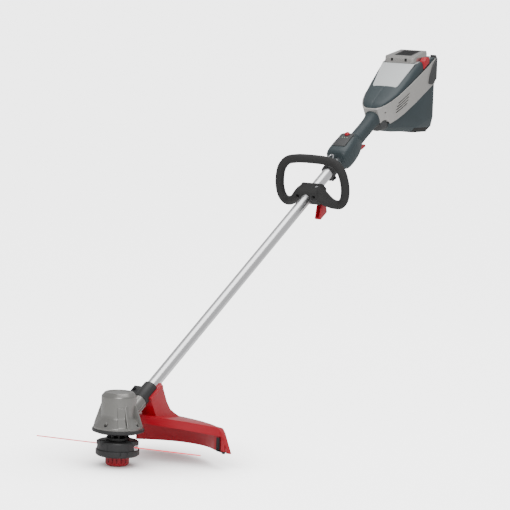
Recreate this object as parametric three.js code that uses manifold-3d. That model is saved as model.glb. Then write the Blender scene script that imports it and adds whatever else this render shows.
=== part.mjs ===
// Cordless string trimmer. Millimetres, +Z up along the spin axis of the cutting head, +X towards the user.
// The origin is the centre of the flat underside of the bump knob.
import * as THREE from "three";
import { mergeVertices } from "three/addons/utils/BufferGeometryUtils.js";
import Module from "manifold-3d";

const wasm = await Module();
wasm.setup();

// ---------------------------------------------------------------- driving dimensions
const GAP = 0.3; // between two pieces that sit against each other
const ROUND = 24; // sides of a round piece

const SHAFT_SLOPE = THREE.MathUtils.degToRad(31); // shaft above the plane of the cutting line
const AXIS_Z = 90; // where the shaft's axis crosses the spin axis
const TUBE_RADIUS = 14;
const TUBE_WALL = 1.5;
const TUBE_START = 62; // along the shaft from the spin axis
const TUBE_END = 1300;
const REAR_DATUM = 1300; // end of the tube at which handle, pod, grip and power head are laid out

// cutting head, heights above the underside of the bump knob
const KNOB_RADIUS = 28;
const KNOB_RIBS = 16;
const KNOB_TRAVEL = 5;
const COVER_BOTTOM = 23;
const COVER_TOP = 38;
const SPOOL_CASE_TOP = 59;
const SPOOL_CASE_RADIUS = 48.5;
const COVER_RADIUS = SPOOL_CASE_RADIUS + 3;
const FLANGE_RADIUS = SPOOL_CASE_RADIUS + 3.5;
const HEAD_WALL = 2.5;
const LINE_Z = 45.5;
const LINE_RADIUS = 1.2;
const LINE_TIP = 217; // from the spin axis
const LINE_TURN = THREE.MathUtils.degToRad(7); // turn of the two eyelets from straight across
const SPOOL_RADIUS = SPOOL_CASE_RADIUS - HEAD_WALL - 2.5;
const SPOOL_HUB = 22;
const WOUND_RADIUS = SPOOL_RADIUS - 3.5;
const SPOOL_WEB_TOP = 41;
const SPRING_RADIUS = 13;
const SPRING_WIRE = 1; // radius
const EYELET_RADIUS = 6.5;
const EYELET_BORE = 3.4;
const EYELET_PLATE = 10; // half width of the curved plate round the eyelet
const FAN_BOTTOM = 59.6;
const FAN_DISC_TOP = 67;
const FAN_TOP = 75.5;
const FAN_RADIUS = 28;
const FAN_BLADES = 9;

// motor
const SKIRT_BOTTOM = 77;
const SKIRT_TOP = 88;
const CAN_RADIUS = 41;
const HOUSING_FOOT_RADIUS = CAN_RADIUS + 17.5;
const SKIRT_RADIUS = HOUSING_FOOT_RADIUS + 3;
const CAN_WALL = 3;
const FLARE_TOP = 113;
const SHOULDER_Z = 165;
const HOUSING_TOP = 173;
const HOUSING_TOP_RADIUS = 33;
const FIN_TOP = 145;
const SPINDLE_RADIUS = 4;
const SOCKET_RADIUS = TUBE_RADIUS + 3.6;
const SOCKET_END = 99; // along the shaft
const BEARING_RADIUS = 11;
const BEARING_HEIGHT = 7;
const UPPER_BEARING_Z = 153;
const LOWER_BEARING_Z = 90;
const STATOR_BOTTOM = 106;
const STATOR_TOP = 140;
const STATOR_RADIUS = CAN_RADIUS - CAN_WALL - GAP;
const STATOR_BORE = 20;
const STATOR_SLOTS = 12;
const CABLE_RADIUS = 3.2;
const CABLE_START = CAN_RADIUS + 9; // along the shaft, clear of the stator's top edge

// collar and guard
const COLLAR_START = SOCKET_END + GAP;
const COLLAR_END = 151;
const EAR_START = 113;
const EAR_END = 139;
const EAR_BOLT = TUBE_RADIUS + 14; // across, from the shaft's axis
const COLLAR_RADIUS = TUBE_RADIUS + 4.6;
const GUARD_RADIUS = LINE_TIP + 19; // outer wall from the spin axis
const GUARD_WALL = 3;
const GUARD_TOP_Z = 104; // top plate at the collar
const GUARD_FALL = 0.128; // slope of the top plate towards the user
const GUARD_LEAN = 0.046; // slope of the top plate across
const GUARD_EDGE_Z = 25; // lower edge of the outer wall, straight behind the head
const SADDLE_START = 112;
const SADDLE_END = 166;
const TOWER_HALF = TUBE_RADIUS + 6;
const BLADE_THICKNESS = 2.2;
const BLADE_BOTTOM = 34.5;
const BLADE_TOP = 66;

// loop handle and its clamp
const LOOP_AT = new THREE.Vector3(834, 0, 614); // middle of the loop
const LOOP_LEAN = THREE.MathUtils.degToRad(9.5); // top of the loop forward of upright
const LOOP_THICK = 11.5; // radius of the loop's bar
const CLAMP_START = 943;
const CLAMP_END = 989;
const CLAMP_HALF = TUBE_RADIUS + 23;
const CLAMP_TOP = TUBE_RADIUS + 7.5;
const JAW_BOTTOM = -TUBE_RADIUS - 11;
const LEVER_WIDTH = 15;

// harness ring
const RING_START = 1064;
const RING_END = 1084;
const RING_RADIUS = TUBE_RADIUS + 5.5;

// pod, grip and power head
const POD_START = 1113;
const POD_END = 1216;
const GRIP_END = 1318;
const PANEL_START = 1138;
const PANEL_END = 1200;
const UNDER_LEVEL = -11; // top of the dark underside of the grip
const BAND_BOTTOM = -27; // side band, square to the shaft
const BAND_TOP = 30;
const BAND_REACH = 1700; // past the rear face, which then cuts it
const REAR_X = 1350;
const BASE_Z = 733;
const SHELL = 3;
const BATTERY_FRONT = 1264;
const BATTERY_BACK = 1337;
const BATTERY_HALF = 42;
const BATTERY_BOTTOM = 776;
const CONTROLLER_HALF = 25;
const REAR_HALF = BATTERY_HALF + 29; // of the power head at its widest
const CAP_FRONT = BATTERY_FRONT - 8;
const CAP_BACK = BATTERY_BACK + 3;
const CAP_HALF = BATTERY_HALF + 5.5;
const CAP_SEAM_Z = 912.5; // lower face of the cap at its front
const CAP_SEAM_RISE = 0.24;
const DECK_START = 1184;
const DECK_THICK = 2.6;
const LATCH_FRONT = 1281;
const LATCH_BACK = 1307;
const LATCH_IN = CAP_HALF + 1.7;
const LATCH_OUT = LATCH_IN + 16.2;
const LATCH_TOP = 931;
const LATCH_TRAVEL = 4;
const NOSE_END = 1336;
const NOSE_TOP = -8;
const NOSE_BOTTOM = -46;
const PAD_START = 1256;
const PAD_SKIN = 1.5; // rubber that wraps up the sides of the body
const PAD_WRAP = 9; // height of the wrap
const PAD_SOLE = 3; // rubber below the body
const BAND_SCREW_AT = 1335;
const BAND_SCREW_ABOVE = 10;
// from, to, above the shaft's axis
const VENTS = [
  [1379, 1430, 12],
  [1371, 1424, 5.5],
  [1366, 1418, -1],
  [1363, 1411, -7.5],
];
const VENT_HALF = 1.6;
const PANEL_FLOOR = TUBE_RADIUS + 16.8;
const PANEL_HALF = 18.7;
const BUTTON_AT = 1189;
const BUTTON_RADIUS = 6.8;
const TRIGGER_AT = 1196; // hinge of the trigger along the shaft
const UNDER_TUBE = -TUBE_RADIUS - 1;
const TRIGGER_PIN = UNDER_TUBE - 7;
const TRIGGER_HALF = 5.5;
const PIN_HALF = 5.4;
const JAW_HALF = TUBE_RADIUS + 12;
const CAM_AT = 972;
const CAM_ACROSS = -TUBE_RADIUS - 6;
const SCREW_AT = 966;
const LEVER_ABOVE = JAW_BOTTOM - 10.5;
const LEVER_NEAR = CAM_ACROSS - LEVER_WIDTH / 2;
const LEVER_FAR = CAM_ACROSS + LEVER_WIDTH / 2;
const RING_AT = (RING_START + RING_END) / 2;
const RING_PIN = RING_RADIUS + 3.5;
const FLANGE_HALF = TUBE_RADIUS + 12;
const EAR_AT = (EAR_START + EAR_END) / 2;
const RIM_HEIGHT = 20;
const BLADE_AT = [156, -179];
const BLADE_BOSS = [146, -201];

// ---------------------------------------------------------------- helpers
const group = new THREE.Group();

const COLOURS = {
  teal: [0x424c4f, 0.5, 0.0],
  silver: [0x9b9996, 0.4, 0.6],
  motor: [0x8a8a86, 0.35, 0.9],
  lightGrey: [0xcdd0d0, 0.5, 0.0],
  red: [0xc3323c, 0.45, 0.0],
  black: [0x2a2a2a, 0.6, 0.0],
  darkGrey: [0x4b4b4b, 0.7, 0.0],
  rubber: [0x303030, 0.9, 0.0],
  steel: [0xb4b4b8, 0.3, 1.0],
  tube: [0xe6e6e8, 0.25, 0.9],
  copper: [0xb06a3a, 0.4, 0.9],
  board: [0x1f5a3a, 0.6, 0.0],
};

function signedVolume(geometry) {
  const p = geometry.getAttribute("position");
  const index = geometry.index.array;
  const a = new THREE.Vector3();
  const b = new THREE.Vector3();
  const c = new THREE.Vector3();
  let sum = 0;
  for (let i = 0; i < index.length; i += 3) {
    a.fromBufferAttribute(p, index[i]);
    b.fromBufferAttribute(p, index[i + 1]);
    c.fromBufferAttribute(p, index[i + 2]);
    sum += a.dot(b.cross(c));
  }
  return sum;
}

// Position-only, welded, faces outward.
function plain(geometry) {
  const loose = geometry.index ? geometry.toNonIndexed() : geometry;
  const bare = new THREE.BufferGeometry();
  bare.setAttribute("position", loose.getAttribute("position"));
  const welded = mergeVertices(bare, 1e-4);
  if (signedVolume(welded) < 0) {
    const index = welded.index.array;
    for (let i = 0; i < index.length; i += 3) {
      [index[i], index[i + 1]] = [index[i + 1], index[i]];
    }
  }
  return welded;
}

function solid(geometry) {
  const g = plain(geometry);
  return new wasm.Manifold(
    new wasm.Mesh({
      numProp: 3,
      vertProperties: g.getAttribute("position").array,
      triVerts: new Uint32Array(g.index.array),
    }),
  );
}

function union(...solids) {
  return solids.reduce((sum, one) => sum.add(one));
}

function without(base, ...cuts) {
  return cuts.reduce((left, cut) => left.subtract(cut), base);
}

function addPiece(name, shape, colour) {
  const mesh = shape.getMesh();
  const indexed = new THREE.BufferGeometry();
  indexed.setAttribute("position", new THREE.BufferAttribute(new Float32Array(mesh.vertProperties), 3));
  indexed.setIndex(new THREE.BufferAttribute(new Uint32Array(mesh.triVerts), 1));
  const geometry = indexed.toNonIndexed();
  geometry.computeVertexNormals();
  const [hex, roughness, metalness] = COLOURS[colour];
  const piece = new THREE.Mesh(
    geometry,
    new THREE.MeshStandardMaterial({ color: hex, roughness, metalness }),
  );
  piece.name = name;
  group.add(piece);
}

function box(x0, x1, y0, y1, z0, z1) {
  return new THREE.BoxGeometry(x1 - x0, y1 - y0, z1 - z0).translate(
    (x0 + x1) / 2,
    (y0 + y1) / 2,
    (z0 + z1) / 2,
  );
}

// Round bar along Z.
function bar(radius, z0, z1, sides = ROUND, topRadius = radius) {
  return new THREE.CylinderGeometry(topRadius, radius, z1 - z0, sides)
    .rotateX(Math.PI / 2)
    .translate(0, 0, (z0 + z1) / 2);
}

// A profile of [radius, z] turned about Z. It closes on itself unless both ends lie on the axis.
function turned(profile, sides = ROUND) {
  const points = profile.map(([r, z]) => new THREE.Vector2(r, z));
  const first = points[0];
  const last = points[points.length - 1];
  if (first.x > 0 || last.x > 0) points.push(first.clone());
  return new THREE.LatheGeometry(points, sides).rotateX(Math.PI / 2);
}

function prism(points, from, to) {
  const shape = new THREE.Shape(points.map(([a, b]) => new THREE.Vector2(a, b)));
  return new THREE.ExtrudeGeometry(shape, { depth: to - from, bevelEnabled: false }).translate(0, 0, from);
}

// A closed solid through rings of the same number of points.
function loft(rings) {
  const count = rings[0].length;
  const corners = [];
  const push = (...points) => points.forEach((p) => corners.push(p.x, p.y, p.z));
  for (let k = 0; k + 1 < rings.length; k++) {
    for (let i = 0; i < count; i++) {
      const j = (i + 1) % count;
      push(rings[k][i], rings[k][j], rings[k + 1][j]);
      push(rings[k][i], rings[k + 1][j], rings[k + 1][i]);
    }
  }
  const cap = (ring, flip) => {
    const middle = ring.reduce((sum, p) => sum.clone().add(p), new THREE.Vector3()).divideScalar(count);
    for (let i = 0; i < count; i++) {
      const j = (i + 1) % count;
      if (flip) push(middle, ring[j], ring[i]);
      else push(middle, ring[i], ring[j]);
    }
  };
  cap(rings[0], true);
  cap(rings[rings.length - 1], false);
  const geometry = new THREE.BufferGeometry();
  geometry.setAttribute("position", new THREE.BufferAttribute(new Float32Array(corners), 3));
  return geometry;
}

// Bar of one radius along a list of points.
function sweep(points, radius, sides, steps, tension = 0.5) {
  const circle = new THREE.Shape();
  for (let i = 0; i < sides; i++) {
    const angle = ((i + 0.5) * 2 * Math.PI) / sides;
    const x = radius * Math.cos(angle);
    const y = radius * Math.sin(angle);
    if (i) circle.lineTo(x, y);
    else circle.moveTo(x, y);
  }
  const path = new THREE.CatmullRomCurve3(points, false, "catmullrom", tension);
  return new THREE.ExtrudeGeometry(circle, { steps, bevelEnabled: false, extrudePath: path });
}

// Shaft frame: first axis up the shaft, second across, third square to the shaft and up.
const ALONG = new THREE.Vector3(Math.cos(SHAFT_SLOPE), 0, Math.sin(SHAFT_SLOPE));
const ACROSS = new THREE.Vector3(0, 1, 0);
const ABOVE = new THREE.Vector3(-Math.sin(SHAFT_SLOPE), 0, Math.cos(SHAFT_SLOPE));
const SHAFT = new THREE.Matrix4().makeBasis(ALONG, ACROSS, ABOVE).setPosition(0, 0, AXIS_Z);
// Profiles drawn in (along, above) and given a thickness across.
const SHAFT_SIDE = new THREE.Matrix4()
  .makeBasis(ALONG, ABOVE, ACROSS.clone().negate())
  .setPosition(0, 0, AXIS_Z);
// Profiles drawn in (X, Z) and given a thickness across.
const SIDE = new THREE.Matrix4().makeBasis(
  new THREE.Vector3(1, 0, 0),
  new THREE.Vector3(0, 0, 1),
  new THREE.Vector3(0, -1, 0),
);

function onShaft(geometry) {
  return geometry.applyMatrix4(SHAFT);
}

function shaftSide(points, halfWidth, middle = 0) {
  return prism(points, -halfWidth - middle, halfWidth - middle).applyMatrix4(SHAFT_SIDE);
}

function side(points, halfWidth, middle = 0) {
  return prism(points, -halfWidth - middle, halfWidth - middle).applyMatrix4(SIDE);
}

// Round bar along the shaft, about an axis lifted by "above" and moved by "across".
function shaftBar(radius, from, to, sides = ROUND, above = 0, across = 0) {
  return onShaft(bar(radius, from, to, sides).rotateY(Math.PI / 2).translate(0, across, above));
}

function shaftBox(from, to, y0, y1, low, high) {
  return onShaft(box(from, to, y0, y1, low, high));
}

// Bar across, centred on a point (along, above) of the shaft frame.
function crossBar(radius, along, above, y0, y1, sides = 24) {
  return onShaft(
    bar(radius, y0, y1, sides)
      .rotateX(-Math.PI / 2)
      .translate(along, 0, above),
  );
}

// Smooth value between the rows of a table of [position, value].
function along(table, position) {
  if (position <= table[0][0]) return table[0][1];
  for (let i = 1; i < table.length; i++) {
    const [p0, v0] = table[i - 1];
    const [p1, v1] = table[i];
    if (position <= p1) return v0 + ((v1 - v0) * (position - p0)) / (p1 - p0);
  }
  return table[table.length - 1][1];
}

// Rounded section across the shaft: half width, lowest and highest point, squareness.
function section(position, half, low, high, power = 3, sides = 20) {
  const middle = (low + high) / 2;
  const reach = (high - low) / 2;
  const ring = [];
  for (let i = 0; i < sides; i++) {
    const angle = (i * 2 * Math.PI) / sides;
    const c = Math.cos(angle);
    const s = Math.sin(angle);
    const y = half * Math.sign(c) * Math.abs(c) ** (2 / power);
    const h = middle + reach * Math.sign(s) * Math.abs(s) ** (2 / power);
    ring.push(new THREE.Vector3(position, y, h).applyMatrix4(SHAFT));
  }
  return ring;
}

// The same, given how far it reaches beyond the tube at the side, below and above.
function aroundTube(position, beside, below, above, power) {
  return section(position, TUBE_RADIUS + beside, -TUBE_RADIUS - below, TUBE_RADIUS + above, power, 24);
}

function screw(headRadius, shankRadius, length, matrix) {
  const head = bar(headRadius, 0, 3, 16);
  const shank = bar(shankRadius, -length, 0.5, 12);
  const slot = solid(bar(1.7, 1.2, 4, 6));
  return without(union(solid(head), solid(shank)), slot).transform(matrix.toArray());
}

// Places a piece made about +Z so that its +Z points along "towards" at "point".
function facing(point, towards) {
  const turn = new THREE.Quaternion().setFromUnitVectors(
    new THREE.Vector3(0, 0, 1),
    towards.clone().normalize(),
  );
  return new THREE.Matrix4().compose(point, turn, new THREE.Vector3(1, 1, 1));
}

function shaftPoint(position, across, above) {
  return new THREE.Vector3(position, across, above).applyMatrix4(SHAFT);
}

// ---------------------------------------------------------------- cutting head
function lineTurn(geometry) {
  return geometry.rotateZ(LINE_TURN);
}

function bumpKnob() {
  const body = turned([
    [0, 0],
    [KNOB_RADIUS - 5, 0],
    [KNOB_RADIUS - 1.5, 2.5],
    [KNOB_RADIUS, 6],
    [KNOB_RADIUS, 27],
    [KNOB_RADIUS + 3, 27],
    [KNOB_RADIUS + 3, 30],
    [KNOB_RADIUS - 8, 30],
    [KNOB_RADIUS - 8, 8],
    [0, 8],
  ], 32);
  const cuts = [];
  for (let i = 0; i < KNOB_RIBS; i++) {
    const angle = (i * 2 * Math.PI) / KNOB_RIBS;
    const groove = bar(2, -1, COVER_BOTTOM - KNOB_TRAVEL - 1, 5).translate(KNOB_RADIUS + 0.6, 0, 0);
    cuts.push(solid(groove.rotateZ(angle)));
  }
  return without(solid(body), ...cuts);
}

function spoolCover() {
  return solid(turned([
    [KNOB_RADIUS + 0.6, COVER_BOTTOM],
    [COVER_RADIUS - 4, COVER_BOTTOM],
    [COVER_RADIUS, COVER_BOTTOM + 3.5],
    [COVER_RADIUS, COVER_TOP],
    [SPOOL_CASE_RADIUS + GAP, COVER_TOP],
    [SPOOL_CASE_RADIUS + GAP, COVER_BOTTOM + HEAD_WALL],
    [KNOB_RADIUS + 0.6, COVER_BOTTOM + HEAD_WALL],
  ], 28));
}

function spoolCase() {
  const shell = solid(turned([
    [SPOOL_CASE_RADIUS, COVER_BOTTOM + HEAD_WALL + GAP],
    [SPOOL_CASE_RADIUS, SPOOL_CASE_TOP - 3],
    [FLANGE_RADIUS - 4, SPOOL_CASE_TOP],
    [SPINDLE_RADIUS + GAP, SPOOL_CASE_TOP],
    [SPINDLE_RADIUS + GAP, SPOOL_CASE_TOP - HEAD_WALL],
    [SPOOL_CASE_RADIUS - HEAD_WALL, SPOOL_CASE_TOP - HEAD_WALL],
    [SPOOL_CASE_RADIUS - HEAD_WALL, COVER_BOTTOM + HEAD_WALL + GAP],
  ], 28));
  const lugs = [];
  for (let i = 0; i < 3; i++) {
    const lug = prism([
      [30, -14],
      [FLANGE_RADIUS - 2, -12],
      [FLANGE_RADIUS, -8],
      [FLANGE_RADIUS, 8],
      [FLANGE_RADIUS - 2, 12],
      [30, 14],
    ], SPOOL_CASE_TOP - HEAD_WALL, SPOOL_CASE_TOP + 2.5);
    lugs.push(solid(lug.rotateZ((i * 2 * Math.PI) / 3 + 0.6)));
  }
  const holes = [];
  for (const turn of [0, Math.PI]) {
    holes.push(solid(lineTurn(acrossBar(EYELET_RADIUS + GAP, -70, -30, 20)).rotateZ(turn)));
  }
  const fanRoom = solid(bar(FAN_RADIUS + 1, SPOOL_CASE_TOP + 0.01, 70, ROUND));
  return without(without(union(shell, ...lugs), ...holes), fanRoom);
}

// Round bar along Y at the height of the line.
function acrossBar(radius, y0, y1, sides) {
  return bar(radius, y0, y1, sides)
    .rotateX(-Math.PI / 2)
    .translate(0, 0, LINE_Z);
}

function eyelet(turn) {
  const inner = SPOOL_CASE_RADIUS - HEAD_WALL - 1;
  const outer = SPOOL_CASE_RADIUS + 1.6;
  const ring = solid(acrossBar(EYELET_RADIUS, -outer, -inner, 20));
  const bore = solid(acrossBar(EYELET_BORE, -outer - 1, -inner + 1, 16));
  const hoop = solid(turned([
    [SPOOL_CASE_RADIUS + GAP, COVER_TOP + 1.2],
    [outer, COVER_TOP + 1.2],
    [outer, LINE_Z + EYELET_RADIUS],
    [SPOOL_CASE_RADIUS + GAP, LINE_Z + EYELET_RADIUS],
  ], 56));
  const frontPart = solid(box(-EYELET_PLATE, EYELET_PLATE, -outer - 5, 0, COVER_TOP, SPOOL_CASE_TOP));
  const plate = hoop.intersect(frontPart);
  const made = without(union(ring, plate), bore);
  return made.rotate([0, 0, THREE.MathUtils.radToDeg(LINE_TURN + turn)]);
}

function innerSpool() {
  return solid(turned([
    [SPOOL_HUB - 2.3, 31],
    [SPOOL_RADIUS, 31],
    [SPOOL_RADIUS, 33],
    [SPOOL_HUB, 33],
    [SPOOL_HUB, 49],
    [SPOOL_RADIUS, 49],
    [SPOOL_RADIUS, 51],
    [SPOOL_HUB - 2.3, 51],
    [SPOOL_HUB - 2.3, SPOOL_WEB_TOP],
    [SPINDLE_RADIUS + 3, SPOOL_WEB_TOP],
    [SPINDLE_RADIUS + 3, SPOOL_WEB_TOP - 3],
    [SPOOL_HUB - 2.3, SPOOL_WEB_TOP - 3],
  ], 28));
}

function woundLine() {
  const profile = [[SPOOL_HUB + GAP, 33 + GAP]];
  for (let i = 0; i < 4; i++) {
    const z = 33.6 + i * 3.7;
    profile.push([WOUND_RADIUS - 1.4, z + 0.3], [WOUND_RADIUS, z + 1.9], [WOUND_RADIUS - 1.4, z + 3.4]);
  }
  profile.push([SPOOL_HUB + GAP, 49 - GAP]);
  return solid(turned(profile, 20));
}

function freeLine(turn) {
  const start = WOUND_RADIUS + 2;
  const points = [];
  const steps = 6;
  for (let i = 0; i <= steps; i++) {
    const radius = start + ((LINE_TIP - start) * i) / steps;
    points.push(new THREE.Vector3(0, -radius, LINE_Z));
  }
  const line = solid(sweep(points, LINE_RADIUS, 8, steps));
  return line.rotate([0, 0, THREE.MathUtils.radToDeg(LINE_TURN + turn)]);
}

function bumpSpring() {
  const points = [];
  const turns = 3;
  const steps = 36;
  const bottom = SPOOL_WEB_TOP + SPRING_WIRE + GAP;
  const top = SPOOL_CASE_TOP - HEAD_WALL - SPRING_WIRE - GAP;
  for (let i = 0; i <= steps; i++) {
    const angle = (i * turns * 2 * Math.PI) / steps;
    const z = bottom + ((top - bottom) * i) / steps;
    points.push(new THREE.Vector3(SPRING_RADIUS * Math.cos(angle), SPRING_RADIUS * Math.sin(angle), z));
  }
  return solid(sweep(points, SPRING_WIRE, 6, steps));
}

function coolingFan() {
  const hub = solid(turned([
    [SPINDLE_RADIUS + GAP, FAN_BOTTOM],
    [FAN_RADIUS, FAN_BOTTOM],
    [FAN_RADIUS, FAN_DISC_TOP - 2],
    [FAN_RADIUS - 2, FAN_DISC_TOP],
    [10, FAN_DISC_TOP],
    [10, FAN_TOP],
    [SPINDLE_RADIUS + GAP, FAN_TOP],
  ]));
  const blades = [];
  for (let i = 0; i < FAN_BLADES; i++) {
    const blade = box(9, FAN_RADIUS - 3, -1.6, 1.6, FAN_DISC_TOP - 1, FAN_TOP).rotateZ(0.35);
    blades.push(solid(blade.rotateZ((i * 2 * Math.PI) / FAN_BLADES)));
  }
  return union(hub, ...blades);
}

// ---------------------------------------------------------------- motor
function spindle() {
  return solid(turned([
    [0, 36],
    [SPINDLE_RADIUS - 1, 36],
    [SPINDLE_RADIUS, 37],
    [SPINDLE_RADIUS, 162],
    [0, 162],
  ], 24));
}

function spindleNut() {
  const hexagon = solid(bar(8, 47.5, 54, 6));
  return without(hexagon, solid(bar(SPINDLE_RADIUS + 0.15, 40, 60, 24)));
}

function bearing(bottom) {
  return solid(turned([
    [SPINDLE_RADIUS + 0.15, bottom],
    [BEARING_RADIUS, bottom],
    [BEARING_RADIUS, bottom + BEARING_HEIGHT],
    [SPINDLE_RADIUS + 0.15, bottom + BEARING_HEIGHT],
  ], 28));
}

function statorCore() {
  const ring = solid(turned([
    [STATOR_BORE, STATOR_BOTTOM],
    [STATOR_RADIUS, STATOR_BOTTOM],
    [STATOR_RADIUS, STATOR_TOP],
    [STATOR_BORE, STATOR_TOP],
  ]));
  const slots = [];
  for (let i = 0; i < STATOR_SLOTS; i++) {
    const slot = prism([
      [STATOR_BORE - 1, -1.2],
      [STATOR_BORE + 2, -1.2],
      [STATOR_BORE + 3, -3.4],
      [STATOR_RADIUS - 6, -5.5],
      [STATOR_RADIUS - 6, 5.5],
      [STATOR_BORE + 3, 3.4],
      [STATOR_BORE + 2, 1.2],
      [STATOR_BORE - 1, 1.2],
    ], STATOR_BOTTOM - 1, STATOR_TOP + 1);
    slots.push(solid(slot.rotateZ((i * 2 * Math.PI) / STATOR_SLOTS)));
  }
  return without(ring, ...slots);
}

function windingRing(bottom, top) {
  return solid(turned([
    [STATOR_BORE + 3, bottom],
    [STATOR_RADIUS - 4, bottom],
    [STATOR_RADIUS - 5, top],
    [STATOR_BORE + 4, top],
  ], 30));
}

function rotor() {
  return solid(turned([
    [SPINDLE_RADIUS + 0.15, STATOR_BOTTOM - 2],
    [STATOR_BORE - 0.8, STATOR_BOTTOM - 2],
    [STATOR_BORE - 0.8, STATOR_TOP + 2],
    [SPINDLE_RADIUS + 0.15, STATOR_TOP + 2],
  ], 32));
}

function motorHousing() {
  const outside = solid(turned([
    [0, SKIRT_TOP + GAP],
    [HOUSING_FOOT_RADIUS, SKIRT_TOP + GAP],
    [HOUSING_FOOT_RADIUS - 0.5, SKIRT_TOP + 5],
    [CAN_RADIUS + 1, FLARE_TOP],
    [CAN_RADIUS, FLARE_TOP + 8],
    [CAN_RADIUS, SHOULDER_Z - 2],
    [CAN_RADIUS - 1.5, SHOULDER_Z],
    [HOUSING_TOP_RADIUS, HOUSING_TOP],
    [26, HOUSING_TOP],
    [25.5, HOUSING_TOP - 1.2],
    [0, HOUSING_TOP - 1.2],
  ], 28));
  const fins = [];
  for (const angle of [105, 285, 350, 60, 240]) {
    const fin = side([
      [CAN_RADIUS - 4, SKIRT_TOP + GAP],
      [HOUSING_FOOT_RADIUS + 1, SKIRT_TOP + GAP],
      [HOUSING_FOOT_RADIUS + 1, SKIRT_TOP + 8],
      [CAN_RADIUS + 1.5, FIN_TOP],
      [CAN_RADIUS - 4, FIN_TOP + 3],
    ], 3.5);
    fins.push(solid(fin.rotateZ(THREE.MathUtils.degToRad(angle))));
  }
  const pad = side([
    [CAN_RADIUS - 4, SKIRT_TOP + GAP],
    [HOUSING_FOOT_RADIUS + 0.8, SKIRT_TOP + GAP],
    [HOUSING_FOOT_RADIUS - 0.5, SKIRT_TOP + 8],
    [CAN_RADIUS + 2.2, FLARE_TOP + 3],
    [CAN_RADIUS + 1.6, 141],
    [CAN_RADIUS - 4, 142],
  ], 9).rotateZ(THREE.MathUtils.degToRad(-136));
  const socket = solid(shaftBar(SOCKET_RADIUS, 30, SOCKET_END, ROUND));
  const ribs = [];
  for (const angle of [20, 55, 90, 125, 160, 200, 235, 270, 305, 340]) {
    const rib = box(50, SOCKET_END - 3, -1.5, 1.5, SOCKET_RADIUS - 1, SOCKET_RADIUS + 1.6);
    ribs.push(solid(onShaft(rib.rotateX(THREE.MathUtils.degToRad(angle)))));
  }
  const inside = solid(turned([
    [0, SKIRT_TOP - 1],
    [HOUSING_FOOT_RADIUS - 4, SKIRT_TOP - 1],
    [HOUSING_FOOT_RADIUS - 4.5, SKIRT_TOP + 4],
    [CAN_RADIUS - CAN_WALL, FLARE_TOP - 9],
    [CAN_RADIUS - CAN_WALL, SHOULDER_Z - 4],
    [BEARING_RADIUS + 6, SHOULDER_Z - 4],
    [BEARING_RADIUS + 6, UPPER_BEARING_Z - 1],
    [BEARING_RADIUS + GAP, UPPER_BEARING_Z - 1],
    [BEARING_RADIUS + GAP, SHOULDER_Z],
    [0, SHOULDER_Z],
  ], 28));
  const bore = solid(shaftBar(TUBE_RADIUS + GAP, 52, SOCKET_END + 5));
  const wireHole = solid(shaftBar(6, 30, 60, 16));
  const body = union(outside, ...fins, solid(pad), socket, ...ribs);
  const skirtRoom = solid(box(-80, 80, -80, 80, 40, SKIRT_TOP + GAP));
  return without(body, inside, bore, wireHole, skirtRoom);
}

function skirt() {
  const ring = solid(turned([
    [BEARING_RADIUS - 3, SKIRT_BOTTOM],
    [SKIRT_RADIUS - 11, SKIRT_BOTTOM],
    [SKIRT_RADIUS, SKIRT_BOTTOM + 4],
    [SKIRT_RADIUS, SKIRT_TOP - 2],
    [SKIRT_RADIUS - 1.5, SKIRT_TOP],
    [HOUSING_FOOT_RADIUS - 4 - GAP, SKIRT_TOP],
    [HOUSING_FOOT_RADIUS - 4 - GAP, SKIRT_TOP - 5],
    [BEARING_RADIUS + 4, SKIRT_TOP - 5],
    [BEARING_RADIUS + 4, LOWER_BEARING_Z + BEARING_HEIGHT],
    [BEARING_RADIUS + GAP, LOWER_BEARING_Z + BEARING_HEIGHT],
    [BEARING_RADIUS + GAP, LOWER_BEARING_Z - GAP],
    [BEARING_RADIUS - 3, LOWER_BEARING_Z - GAP],
  ], 28));
  return ring;
}

// ---------------------------------------------------------------- collar, guard and cutter
function shaftCollar() {
  const sleeve = solid(shaftBar(COLLAR_RADIUS, COLLAR_START, COLLAR_END));
  const ear = solid(shaftBox(EAR_START, EAR_END, TUBE_RADIUS, EAR_BOLT + 7, 1, 11));
  const earHole = solid(
    bar(2.4, -20, 40, 16).applyMatrix4(facing(shaftPoint(EAR_AT, EAR_BOLT, 0), ABOVE)),
  );
  const bore = solid(shaftBar(TUBE_RADIUS + GAP, COLLAR_START - 5, COLLAR_END + 5));
  const saddleRoom = solid(shaftBox(SADDLE_START - GAP, COLLAR_END + 5, -40, 40, -40, 1));
  return without(union(sleeve, ear), earHole, bore, saddleRoom);
}

// Half-space under the sloping top of the guard, lowered by "drop".
function underGuardTop(drop) {
  const corners = [
    [-100, -400],
    [500, -400],
    [500, 300],
    [-100, 300],
  ];
  const topZ = (x, y) => GUARD_TOP_Z - drop - GUARD_FALL * (x - 105) + GUARD_LEAN * (y + 26);
  const low = corners.map(([x, y]) => new THREE.Vector3(x, y, -200));
  const high = corners.map(([x, y]) => new THREE.Vector3(x, y, topZ(x, y)));
  return solid(loft([low, high]));
}

function overGuardEdge() {
  const corners = [
    [-100, -400],
    [500, -400],
    [500, 300],
    [-100, 300],
  ];
  const edgeZ = (x, y) => GUARD_EDGE_Z - GUARD_LEAN * y;
  const low = corners.map(([x, y]) => new THREE.Vector3(x, y, edgeZ(x, y)));
  const high = corners.map(([x, y]) => new THREE.Vector3(x, y, 400));
  return solid(loft([low, high]));
}

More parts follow.
